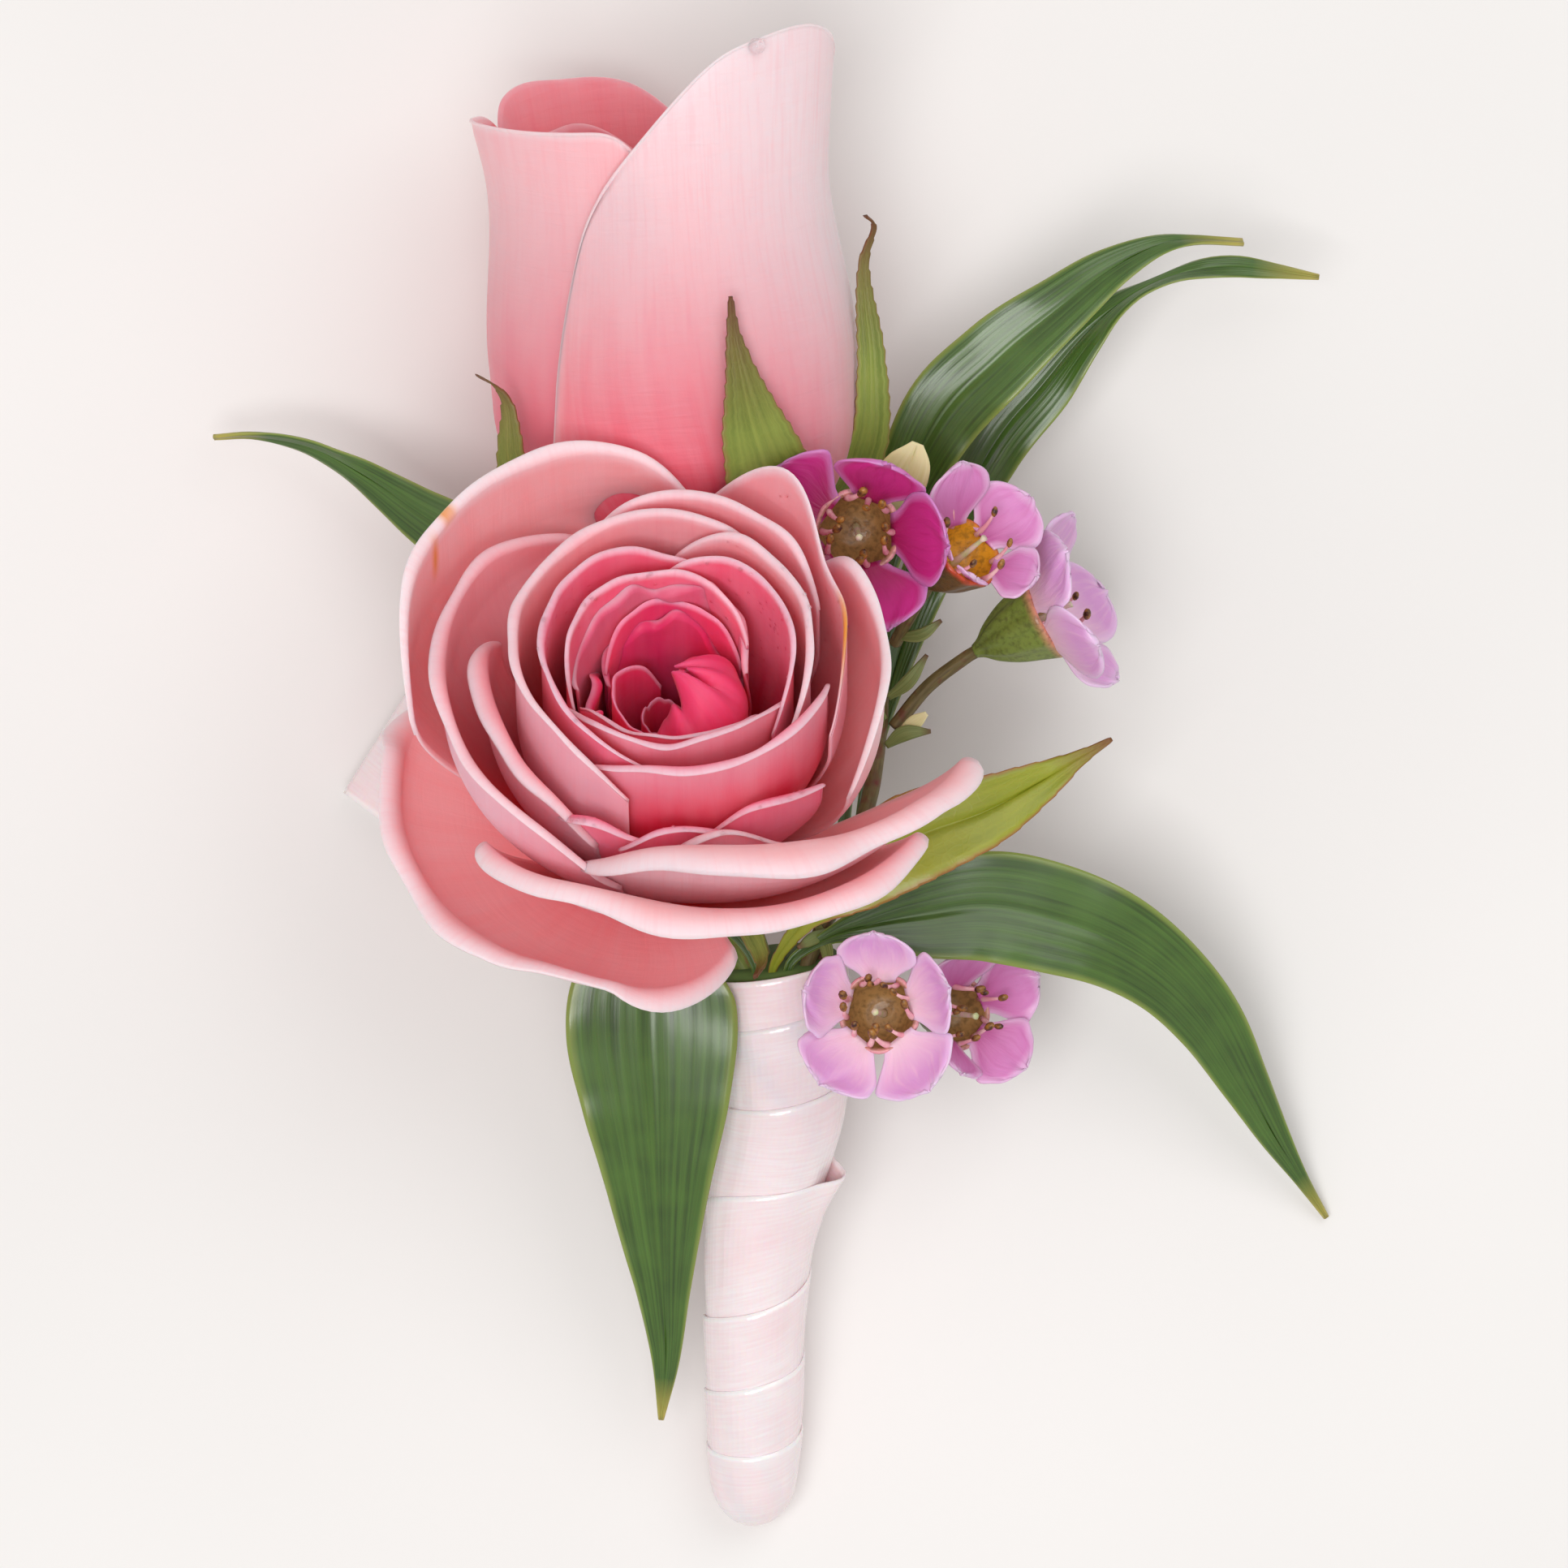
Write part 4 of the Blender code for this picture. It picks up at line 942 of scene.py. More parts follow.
# Angles here are from the right of the bud, with 90 towards the viewer.
BUD_PETALS = {
    "inner": dict(angles=(-95, 120), reach=(11.0, 10.8, 10.4), top=(26, 37, 38, 28)),
    "middle": dict(angles=(60, 300), reach=(13.0, 13.6, 14.2), top=(28, 39, 41, 40, 28)),
    "back": dict(
        angles=(150, 190, 240, 277, 330), reach=(15.4, 15.9, 16.2), top=(24, 43, 44.5, 39.5, 20),
        flare=(0, 2.4, 3.2, 1.8, 0),
    ),
    "left": dict(
        angles=(86, 99, 120, 175, 200, 240), reach=(17.2, 17.2, 17.3, 17.4, 17.5),
        top=(36, 43.6, 45.4, 44.4, 41, 24), flare=(0, 0, 0.8, 3.8, 1.8, 0), blush=left_blush,
    ),
    "front": dict(
        angles=(128, 121, 110, 84, 62, 30, 8, -25, -65, -110), reach=(18.6, 18.8, 18.9, 18.3, 17.2),
        top=(14, 31, 39.6, 48.2, 53.4, 54.2, 50.6, 43, 33, 18),
        flare=(0, 0, 0, 0.3, 1.2, 2.2, 2.0, 0.6, 0, 0),
        blush=front_blush,
    ),
}
for k, (name, shape) in enumerate(BUD_PETALS.items()):
    petal(
        "bud_wrap_" + name, BUD_BASE, BUD_AXES, bud_shell, bud_skin, "bud_petal",
        stands_for=["bud_petal_" + name], seed=70 + k, thickness=BUD_PETAL, lip=0.45, curl=70,
        ripple=0.3, frill=0.2, **shape,
    )
petal(
    "bud_heart_roll", BUD_BASE, BUD_AXES, bud_shell, ring_skin, "rose_petal", stands_for=["bud_core"],
    angles=(30, 900), reach=(1.2, 3.0, 4.6, 6.2, 7.4), top=(34, 36, 37, 36, 33), claw=1.0, lip=0.3, curl=40,
    ripple=0.1, frill=0.3, seed=80, thickness=0.3,
)

# (angle, height, lift off the petals, width) from each sepal's foot on the hip to its tip
BUD_SEPALS = {
    "front": (
        (56, -3.8, 0.3, 4.6), (55, -1.0, 1.0, 8.4), (56, 4.0, 1.4, 11.2), (60, 10.0, 1.4, 10.6),
        (65, 16.0, 1.5, 7.8), (68, 21.0, 1.6, 4.4), (70, 26.0, 1.9, 1.8), (70, 30.0, 2.4, 0.5),
    ),
    "right": (
        (14, -3.8, 0.3, 4.6), (14, 0.0, 1.0, 5.4), (14, 8.0, 1.4, 4.8), (13, 16.0, 1.7, 3.6),
        (12, 24.0, 1.8, 2.4), (10, 29.0, 2.6, 1.3), (10, 32.6, 4.6, 0.6), (12, 34.0, 4.2, 0.5),
    ),
    "left": (
        (142, -3.8, 0.3, 4.6), (141, 0.0, 1.0, 5.6), (140, 8.0, 1.5, 5.0), (140, 14.0, 1.6, 3.2),
        (140, 18.6, 1.7, 1.6), (142, 20.6, 2.6, 0.6), (148, 21.4, 3.2, 0.5),
    ),
    "back_left": (
        (228, -3.6, 0.3, 4.0), (228, -5.6, 1.4, 3.8), (228, -10.0, 2.0, 2.6), (228, -14.0, 2.4, 0.6),
    ),
    "back_right": (
        (302, -3.6, 0.3, 4.0), (302, -5.6, 1.4, 3.8), (302, -10.0, 2.0, 2.6), (302, -14.0, 2.4, 0.6),
    ),
}
SEPAL_TWIST = {"right": -62.0, "left": 30.0}  # degrees that a blade turns on its own length
for k, (name, stations) in enumerate(BUD_SEPALS.items()):
    angle, height, lift, width = dense_curve(stations, 14).T
    hip = BUD_DOME[0] - 0.1 - 0.5 * np.clip(-3.8 - height, 0, 10)
    petals = bud_shell(np.full(len(height), BUD_REACH), 1.0, np.maximum(height, -2.4))[0]
    radius = np.where(height < -2.4, hip, np.maximum(petals, hip)) + lift
    path = around(BUD_BASE, BUD_AXES, radius, angle, height)
    across = unit(around(BUD_BASE, BUD_AXES, radius, angle + 1.0, height) - path)
    turned = np.radians(SEPAL_TWIST.get(name, 0.0)) * ease((height + 2.0) / 8.0)[:, None]
    outward = unit(around(BUD_BASE, BUD_AXES, radius + 1.0, angle, height) - path)
    across = np.cos(turned) * across + np.sin(turned) * outward
    blade(
        "bud_sepal_blade_" + name, path, np.maximum(width, 0.4), across, sepal_skin, "calyx",
        ["bud_sepal_" + name], fold=-0.08, ribs=3, rib=0.05, groove=0.12, teeth=0.3, seed=30 + k,
    )

# ---- The leaves ----
# Five ruscus leaves, narrow, leathery and dark green with parallel veins, stand out at the left, the
# upper right, the right and below. A young rose leaf, yellow-green with a rosy toothed edge, lies
# over the right one.

ruscus_skin = leaf_skin(
    "ruscus_leaf_skin", "#2C4414", "#52762A", "#93A24C", "#B7A94E", 0.93, 0.32, 2.6, coat=0.45
)
young_skin = leaf_skin(
    "young_rose_leaf_skin", "#7A8614", "#A0A42C", "#A05A3C", "#7A3A22", 0.85, 0.4, 0.9, coat=0.15, net=0.16
)

# (x, y, z, width, roll) from the foot of each blade to its tip
RUSCUS_LEAVES = {
    "left": (
        (-3.9, -20.5, 17.6, 0.8, 0), (-3.3, -16.8, 17.4, 0.9, 0), (-6.0, -12.0, 13.6, 1.2, 0),
        (-13.0, 2.0, 9.5, 3.2, 0), (-20.5, 13.5, 12.0, 7.0, 0), (-25.6, 20.2, 13.4, 7.6, 0),
        (-30.7, 24.8, 13.4, 6.9, 5), (-35.8, 28.2, 12.2, 5.2, 12), (-41.0, 31.8, 10.6, 3.4, 30),
        (-46.4, 34.7, 8.8, 2.0, 45), (-52.0, 35.9, 6.8, 1.1, 60), (-56.4, 35.8, 5.2, 0.6, 60),
    ),
    "right_upper": (
        (4.7, -20.5, 18.4, 0.8, 0), (4.7, -16.6, 19.0, 0.9, 0), (6.6, -8.0, 15.6, 1.2, 0),
        (8.4, 8.0, 12.4, 1.6, 0), (11.0, 24.0, 13.0, 4.2, 0), (16.3, 36.6, 16.0, 8.0, 5),
        (22.4, 43.1, 18.2, 8.2, 8), (28.3, 48.0, 19.2, 6.4, 10), (33.3, 51.8, 19.0, 4.6, 15),
        (38.3, 54.4, 17.6, 2.4, 25), (42.3, 55.1, 16.0, 1.2, 40), (47.1, 55.0, 14.2, 0.9, 40),
    ),
    "right_lower": (
        (3.9, -20.5, 17.0, 0.8, 0), (3.9, -16.4, 17.9, 0.9, 0), (8.0, -8.0, 13.2, 1.2, 0),
        (10.6, 6.0, 9.0, 2.0, 0), (15.6, 22.0, 8.4, 5.2, 0), (21.9, 34.4, 9.8, 6.6, 0),
        (27.1, 40.8, 11.4, 6.4, 5), (31.4, 45.9, 12.6, 4.6, 15), (35.3, 49.2, 12.8, 2.6, 45),
        (39.2, 51.3, 12.2, 1.8, 50), (43.1, 52.4, 11.6, 2.2, 20), (46.9, 52.7, 10.8, 2.2, 10),
        (50.8, 52.3, 9.8, 1.5, 10), (55.0, 51.8, 8.6, 0.6, 0),
    ),
    "right_low": (
        (1.8, -20.5, 22.9, 0.8, 0), (1.8, -17.0, 24.0, 0.9, 0), (5.6, -14.4, 24.2, 1.6, 0),
        (9.6, -13.2, 23.4, 4.4, 0), (14.6, -12.2, 22.2, 8.8, 0), (21.3, -11.4, 21.4, 11.0, 0),
        (27.9, -12.6, 20.4, 11.0, 0), (34.1, -14.8, 18.8, 9.8, 0), (39.5, -18.4, 16.2, 8.2, 0),
        (43.9, -23.2, 12.8, 6.9, 0), (47.5, -29.2, 9.0, 5.0, 0), (50.6, -34.6, 5.6, 3.2, 0),
        (53.4, -39.0, 2.7, 1.6, 0), (56.2, -43.2, 0.6, 0.6, 0),
    ),
    "low": (
        (-1.4, -20.5, 22.6, 0.8, 0), (-1.8, -17.0, 23.5, 0.9, 0), (-4.2, -13.8, 24.0, 1.2, 0),
        (-8.0, -13.2, 24.4, 1.8, 0), (-10.8, -14.8, 25.0, 8.0, 0), (-11.8, -18.6, 25.0, 15.4, 0),
        (-11.9, -24.0, 24.2, 17.0, 0), (-11.6, -31.0, 22.3, 14.6, 0), (-11.4, -38.0, 19.7, 11.0, 0),
        (-11.2, -44.0, 17.0, 8.2, 0), (-10.9, -50.0, 14.2, 5.4, 0), (-10.7, -57.0, 11.0, 2.8, 0),
        (-11.2, -63.2, 8.6, 0.6, 0),
    ),
}
for k, (name, stations) in enumerate(RUSCUS_LEAVES.items()):
    leaf(
        "ruscus_blade_" + name, stations, 110, ruscus_skin, "ruscus", ["ruscus_leaf_" + name],
        ribs=11, rib=0.022, groove=0.16, wave=0.3, seed=50 + k,
    )

YOUNG_LEAF = (
    (0.2, -20.5, 23.2, 0.9, 0), (0.2, -17.2, 24.2, 1.0, 0), (3.6, -12.4, 27.6, 2.6, 0),
    (8.2, -8.4, 29.4, 7.4, 0), (13.9, -4.6, 29.8, 9.2, 0), (20.9, -2.0, 29.2, 7.2, 0),
    (26.2, 0.8, 28.0, 4.4, 0), (30.2, 3.2, 27.0, 1.8, 0), (33.6, 5.2, 26.6, 0.5, 0),
)
leaf(
    "young_leaf_blade", YOUNG_LEAF, 130, young_skin, "young_leaf", ["young_rose_leaf"],
    ribs=0, groove=0.35, teeth=0.14, tooth_pitch=2.4, wave=0.35, seed=58,
)

# ---- The wax flowers ----
# Five small waxy flowers on thin woody twigs. Each has a ribbed cup, five rounded petals on its rim,
# a dark nectar disc inside, and a ring of pale filaments with dark anthers round one style. One is
# old, its petals dropped and its disc turned orange.

WAX_CUP = 3.1  # radius of the cup's mouth
WAX_DEPTH = 6.2


def wax_petal_skin(name, throat, face, edge):
    """Wax flower petal: thick, smooth and waxy, darker at its claw and pale at its edge."""
    made, tree, shader = new_material(
        name, Roughness=0.4, Subsurface_Weight=0.25, Subsurface_Scale=0.8 * MM, Coat_Weight=0.15
    )
    shader.inputs["Subsurface Radius"].default_value = (1.0, 0.4, 0.7)
    far = add_node(tree, "ShaderNodeAttribute", attribute_name="along").outputs["Fac"]
    rim = add_node(tree, "ShaderNodeAttribute", attribute_name="rim_mm").outputs["Fac"]
    tone = add_node(tree, "ShaderNodeValToRGB", {"Fac": far}, stops=((0.05, throat), (0.7, face)))
    at_rim = add_node(
        tree, "ShaderNodeMapRange", {"Value": rim, "From Max": 1.1, "To Min": 0.85, "To Max": 0.0}
    )
    edged = add_node(
        tree, "ShaderNodeMix",
        {0: at_rim.outputs["Result"], 6: tone.outputs["Color"], 7: linear(edge)}, data_type="RGBA",
    )
    lies = add_node(tree, "ShaderNodeUVMap", uv_map="unrolled_mm")
    fan = add_node(tree, "ShaderNodeMapping", {"Vector": lies.outputs["UV"], "Scale": (1.6, 0.3, 1.0)})
    veins = add_node(
        tree, "ShaderNodeTexNoise", {"Vector": fan.outputs["Vector"], "Scale": 1.0, "Detail": 3.0}
    )
    dark = add_node(
        tree, "ShaderNodeMapRange",
        {"Value": veins.outputs["Fac"], "From Min": 0.5, "From Max": 0.78, "To Max": 0.4},
    )
    veined = add_node(
        tree, "ShaderNodeMix",
        {0: dark.outputs["Result"], 6: edged.outputs[2], 7: linear(throat)}, data_type="RGBA",
    )
    relief = add_node(
        tree, "ShaderNodeBump", {"Height": veins.outputs["Fac"], "Strength": 0.6, "Distance": 0.15 * MM}
    )
    tree.links.new(veined.outputs[2], shader.inputs["Base Color"])
    tree.links.new(relief.outputs["Normal"], shader.inputs["Normal"])
    return made


def wax_cup_skin(name, base, rim, disc):
    """The cup: a thick green-brown hypanthium with a shiny nectar disc."""
    made, tree, shader = new_material(name, Roughness=0.38, Coat_Weight=0.2)
    far = add_node(tree, "ShaderNodeAttribute", attribute_name="along").outputs["Fac"]
    tone = add_node(
        tree, "ShaderNodeValToRGB", {"Fac": far},
        stops=((0.0, base), (0.42, base), (0.56, rim), (0.7, disc)),
    )
    lies = add_node(tree, "ShaderNodeTexCoord")
    warts = add_node(
        tree, "ShaderNodeTexNoise", {"Vector": lies.outputs["Object"], "Scale": 1900.0, "Detail": 2.0}
    )
    darker = add_node(
        tree, "ShaderNodeMapRange",
        {"Value": warts.outputs["Fac"], "From Min": 0.45, "From Max": 0.7, "To Max": 0.45},
    )
    mottled = add_node(
        tree, "ShaderNodeMix",
        {0: darker.outputs["Result"], 6: tone.outputs["Color"], 7: linear("#2E2410")}, data_type="RGBA",
    )
    relief = add_node(
        tree, "ShaderNodeBump", {"Height": warts.outputs["Fac"], "Strength": 0.6, "Distance": 0.12 * MM}
    )
    tree.links.new(mottled.outputs[2], shader.inputs["Base Color"])
    tree.links.new(relief.outputs["Normal"], shader.inputs["Normal"])
    return made


def plain_skin(name, colour, other, scale, roughness, coat=0.0):
    """A small part's even skin, with a soft change of tone across it."""
    made, tree, shader = new_material(name, Roughness=roughness, Coat_Weight=coat)
    lies = add_node(tree, "ShaderNodeTexCoord")
    change = add_node(tree, "ShaderNodeTexNoise", {"Vector": lies.outputs["Object"], "Scale": scale})
    tone = add_node(
        tree, "ShaderNodeValToRGB",
        {"Fac": change.outputs["Fac"]}, stops=((0.35, colour), (0.65, other)),
    )
    relief = add_node(
        tree, "ShaderNodeBump",
        {"Height": change.outputs["Fac"], "Strength": 0.3, "Distance": 0.05 * MM},
    )
    tree.links.new(tone.outputs["Color"], shader.inputs["Base Color"])
    tree.links.new(relief.outputs["Normal"], shader.inputs["Normal"])
    return made


magenta_skin = wax_petal_skin("wax_petal_magenta", "#A01458", "#CC2F8E", "#CE8CCB")
mauve_skin = wax_petal_skin("wax_petal_mauve", "#C25A9C", "#D888C4", "#E9C4E4")
lilac_skin = wax_petal_skin("wax_petal_pale_lilac", "#F6D3E0", "#DCA2D8", "#EBCDEC")
olive_cup = wax_cup_skin("wax_cup_olive", "#5C6420", "#E79AA6", "#A9824E")
green_cup = wax_cup_skin("wax_cup_green", "#76883A", "#D98A74", "#A9824E")
orange_cup = wax_cup_skin("wax_cup_orange_disc", "#6B4A20", "#C8401C", "#DC9A22")
filament_skin = plain_skin("wax_filament_skin", "#E79AA8", "#F2C6C4", 900.0, 0.45)
anther_skin = plain_skin("wax_anther_skin", "#3A160C", "#A8742A", 1500.0, 0.5, 0.2)
style_skin = plain_skin("wax_style_skin", "#E7C9C0", "#C9D098", 900.0, 0.4)


def grown_ring():
    """A Geometry Nodes tree that stands copies of one template in a ring, leaning out at random."""
    tree = bpy.data.node_groups.new("grown_ring", "GeometryNodeTree")
    face = tree.interface
    face.new_socket("Geometry", in_out="INPUT", socket_type="NodeSocketGeometry")
    face.new_socket("Count", in_out="INPUT", socket_type="NodeSocketInt")
    face.new_socket("Ring Radius", in_out="INPUT", socket_type="NodeSocketFloat")
    face.new_socket("Lean", in_out="INPUT", socket_type="NodeSocketFloat")
    face.new_socket("Wander", in_out="INPUT", socket_type="NodeSocketFloat")
    face.new_socket("Seed", in_out="INPUT", socket_type="NodeSocketInt")
    face.new_socket("Material", in_out="INPUT", socket_type="NodeSocketMaterial")
    face.new_socket("Geometry", in_out="OUTPUT", socket_type="NodeSocketGeometry")
    given = tree.nodes.new("NodeGroupInput").outputs
    ring = add_node(
        tree, "GeometryNodeMeshCircle", {"Vertices": given["Count"], "Radius": given["Ring Radius"]}
    )
    place = add_node(tree, "GeometryNodeInputPosition")
    outward = add_node(tree, "ShaderNodeVectorMath", {0: place.outputs[0]}, operation="NORMALIZE")
    leaning = add_node(
        tree, "ShaderNodeVectorMath", {0: outward.outputs[0], "Scale": given["Lean"]}, operation="SCALE"
    )
    chance = add_node(
        tree, "FunctionNodeRandomValue",
        {0: (-1.0, -1.0, -0.3), 1: (1.0, 1.0, 0.3), "Seed": given["Seed"]},
        data_type="FLOAT_VECTOR",
    )
    strayed = add_node(
        tree, "ShaderNodeVectorMath",
        {0: chance.outputs[0], "Scale": given["Wander"]}, operation="SCALE",
    )
    both = add_node(
        tree, "ShaderNodeVectorMath", {0: leaning.outputs[0], 1: strayed.outputs[0]}, operation="ADD"
    )
    upright = add_node(
        tree, "ShaderNodeVectorMath", {0: both.outputs[0], 1: (0.0, 0.0, 1.0)}, operation="ADD"
    )
    turned = add_node(
        tree, "FunctionNodeAlignRotationToVector", {"Vector": upright.outputs[0]}, axis="Z"
    )
    size = add_node(
        tree, "FunctionNodeRandomValue", {2: 0.85, 3: 1.1, "Seed": given["Seed"]}, data_type="FLOAT"
    )
    copies = add_node(
        tree, "GeometryNodeInstanceOnPoints",
        {
            "Points": ring.outputs[0], "Instance": given["Geometry"], "Rotation": turned.outputs[0],
            "Scale": size.outputs[1],
        },
    )
    real = add_node(tree, "GeometryNodeRealizeInstances", {"Geometry": copies.outputs[0]})
    coloured = add_node(
        tree, "GeometryNodeSetMaterial", {"Geometry": real.outputs[0], "Material": given["Material"]}
    )
    add_node(tree, "NodeGroupOutput", {0: coloured.outputs[0]})
    return tree


def run_tree(template, tree, **inputs):
    """The plain mesh that a node tree makes from a template object, which is then removed."""
    modifier = template.modifiers.new("grow", "NODES")
    modifier.node_group = tree
    for item in tree.interface.items_tree:
        if item.in_out == "INPUT" and item.name in inputs:
            modifier[item.identifier] = inputs[item.name]
    bpy.context.view_layer.update()
    graph = bpy.context.evaluated_depsgraph_get()
    made = bpy.data.meshes.new_from_object(template.evaluated_get(graph))
    bpy.data.objects.remove(template)
    return made


def rounded(profile, sides):
    """Rings round the Z axis through (radius, height) pairs."""
    turn = np.linspace(0, 2 * np.pi, sides, endpoint=False)
    profile = np.asarray(profile, float)
    x, y = profile[:, :1] * np.cos(turn), profile[:, :1] * np.sin(turn)
    return np.stack([x, y, np.broadcast_to(profile[:, 1:], x.shape)], -1)


def dense_rings(rings):
    """The same form with smoother rings."""
    return np.stack([dense_curve(rings[:, j], 4) for j in range(rings.shape[1])], 1)


def template_of(name, rings):
    """A stand-in object in metres for a tree to copy."""
    points, faces = loft(rings)
    mesh = bpy.data.meshes.new(name)
    mesh.from_pydata(points * MM, [], faces)
    mesh.shade_smooth()
    thing = bpy.data.objects.new(name, mesh)
    bpy.context.scene.collection.objects.link(thing)
    return thing


def settle(name, mesh, matrix, look, stands_for=()):
    """A grown mesh put in its place as a finished piece."""
    mesh.transform(matrix)
    mesh.materials.clear()
    mesh.materials.append(look)
    mesh.shade_smooth()
    piece = bpy.data.objects.new(name, mesh)
    bpy.context.scene.collection.objects.link(piece)
    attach(piece, "root")
    if stands_for:
        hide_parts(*stands_for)
    return piece


def bowed(rings):
    """The same rings along a line that bends over as it rises."""
    return rings + rings[..., 2:] ** 2 * np.array((0.1, 0.0, 0.0))


# (radius, height) of the parts of one stamen
FILAMENT = ((0.3, -0.3), (0.26, 0.6), (0.21, 1.3), (0.17, 2.0), (0.14, 2.5))
ANTHER = ((0.06, 2.35), (0.28, 2.45), (0.36, 2.7), (0.32, 2.95), (0.18, 3.1), (0.06, 3.15))
STYLE = ((-2.6, 0.42), (0.4, 0.3), (2.6, 0.22), (3.0, 0.36))  # (height, radius)
ring_tree = grown_ring()


def wax_petals(name, base, axes, petals, look, seed, size):
    """Five rounded petals on the rim of a cup, slightly cupped and overlapping."""
    mouth = WAX_CUP * size
    for k, (reach, lift) in enumerate(petals):
        reach = reach * size
        s, t = np.meshgrid(np.sin(np.linspace(0, np.pi / 2, 24)), np.linspace(-1, 1, 25), indexing="ij")
        long = reach - mouth + 0.5
        wide = 0.5 * long + 1.0
        claw = 0.4 + 0.6 * ease(s / 0.55)
        shape = claw * np.sqrt(np.clip(1 - ((s - 0.55).clip(0) / 0.452) ** 2, 0, 1))
        half = wide * np.maximum(shape, 0.05) * (1 + 0.07 * waver(s * 6, seed + 2 * k, 5.0))
        crimp = 0.26 * waver(t * 4 + s * 3, seed + k, 3.9) * s**2
        crimp = crimp + 0.16 * math.sin(3.7 * (seed + k)) * t * half
        out = mouth - 0.5 + s * long * np.sqrt(np.maximum(1 - 0.12 * t**2, 0))
        rise = np.radians(lift)
        cupped = 0.035 * (s * long) ** 2 + 0.10 * (t * half) ** 2 / wide + crimp + 0.05 * (k % 2)
        radial = mouth - 0.5 + (out - mouth + 0.5) * np.cos(rise) - cupped * np.sin(rise)
        height = (out - mouth + 0.5) * np.sin(rise) + cupped * np.cos(rise) + 0.15
        turn = np.radians(72.0 * k)
        right, up, axis = axes
        ray = np.cos(turn) * right + np.sin(turn) * up
        side = -np.sin(turn) * right + np.cos(turn) * up
        grid = base + radial[..., None] * ray + (t * half)[..., None] * side + height[..., None] * axis
        rim_mm = np.minimum((1 - s) * long, (1 - np.abs(t)) * half)
        uv = np.stack([t * wide, s * long], -1) + 11 * (seed + k)
        sheet_piece(
            f"{name}_{k + 1}", grid, 0.2 + 0.2 * ease(rim_mm / 0.8), uv, look,
            facts={"along": s, "rim_mm": rim_mm},
        )


def wax_cup(name, base, axes, look, stands_for, size):
    """The cup with ten low ribs, its rim, and the hollow disc inside it."""
    sides = 60
    turn = np.arange(sides) * 360 / sides
    rib = 0.10 * np.cos(np.radians(turn) * 10)
    profile = [
        (0.55, -WAX_DEPTH, 0), (0.8, -WAX_DEPTH * 0.9, 0.5), (1.5, -WAX_DEPTH * 0.75, 1),
        (2.35, -WAX_DEPTH * 0.5, 1), (2.9, -WAX_DEPTH * 0.25, 1), (3.25, -0.5, 1),
        (3.45, 0.1, 0.6), (3.3, 0.4, 0.3), (3.0, 0.25, 0), (2.75, -0.5, 0), (2.35, -1.3, 0),
        (1.7, -2.1, 0), (0.9, -2.4, 0),
    ]
    rings = [
        around(base, axes, size * (radius + rib * share), turn, np.full(sides, size * high))
        for radius, high, share in profile
    ]
    rings = dense_rings(np.stack(rings))
    points, faces = loft(rings)
    far = np.concatenate([np.repeat(np.linspace(0, 1, len(rings)), sides), (0, 1)])
    return add_piece(name, points, faces, look, stands_for, facts={"along": far})


# centre of the mouth, axis, direction of the first petal, the five petals' (length, lift in degrees),
# the number of stamens, how far they lean out, and its size beside the others
WAX_FLOWERS = {
    "facing": (
        (8.4, 25.6, 32.0), (0.05, -0.22, 1.0), (0.35, 1.0, 0.2),
        ((8.6, 35), (8.4, -5), (8.0, 10), (9.0, 30), (9.0, 35)), magenta_skin, olive_cup, 10, -0.2, 1.26,
    ),
    "aged": (
        (19.2, 23.6, 29.6), (0.62, 0.50, 0.75), (-0.3, 1.0, 0.0),
        ((8.6, 35), (4.4, 50), (4.4, 50), (7.0, 30), (8.4, 20)), mauve_skin, orange_cup, 6, 0.4, 1.12,
    ),
    "side": (
        (27.2, 17.4, 20.0), (0.86, 0.42, 0.28), (0.0, 0.6, 0.8),
        ((8.6, 40), (8.4, 30), (7.6, 15), (8.6, 15), (8.8, 35)), lilac_skin, green_cup, 8, 0.1, 1.3,
    ),
    "low": (
        (10.6, -21.8, 30.2), (-0.16, 0.05, 1.0), (0.0, 1.0, 0.0),
        ((8.0, 30), (8.2, 40), (8.8, 25), (8.8, 15), (8.2, 30)), lilac_skin, olive_cup, 11, -0.25, 1.17,
    ),
    "behind": (
        (18.6, -22.2, 17.6), (0.55, -0.05, 0.8), (0.9, 0.4, 0.0),
        ((8.6, 20), (7.6, 30), (6.8, 40), (7.6, 40), (8.4, 25)), mauve_skin, olive_cup, 9, -0.15, 1.06,
    ),
}

# (x, y, z, radius) of each twig, from just below its flower's cup to the binding or the twig it joins
WAX_STEMS = {
    "facing": (
        (9.0, 23.0, 21.4, 0.7), (10.8, 13.0, 18.4, 0.75), (10.0, 1.0, 18.6, 0.8),
        (6.8, -9.0, 20.8, 0.8), (3.6, -16.8, 22.3, 0.75), (3.3, -20.5, 21.5, 0.75),
        (2.9, -24.0, 19.7, 0.7), (3.0, -31.0, 17.2, 0.7), (0.9, -43.0, 13.6, 0.65),
    ),
    "aged": ((13.6, 17.4, 22.4, 0.65), (12.2, 14.8, 19.9, 0.65)),
    "side": ((19.0, 13.2, 17.4, 0.65), (15.4, 10.4, 17.4, 0.7), (12.1, 6.4, 18.0, 0.7)),
    "low": (
        (11.4, -18.4, 22.8, 0.65), (9.2, -15.2, 22.0, 0.65), (6.0, -14.0, 21.4, 0.62),
        (4.5, -17.6, 20.4, 0.62), (4.4, -20.5, 19.8, 0.62), (4.0, -24.0, 17.7, 0.62),
        (3.6, -31.0, 14.9, 0.6), (1.5, -43.0, 11.3, 0.6),
    ),
    "behind": ((13.4, -20.6, 12.4, 0.6), (10.2, -17.4, 16.0, 0.6), (9.4, -16.2, 19.6, 0.6)),
}
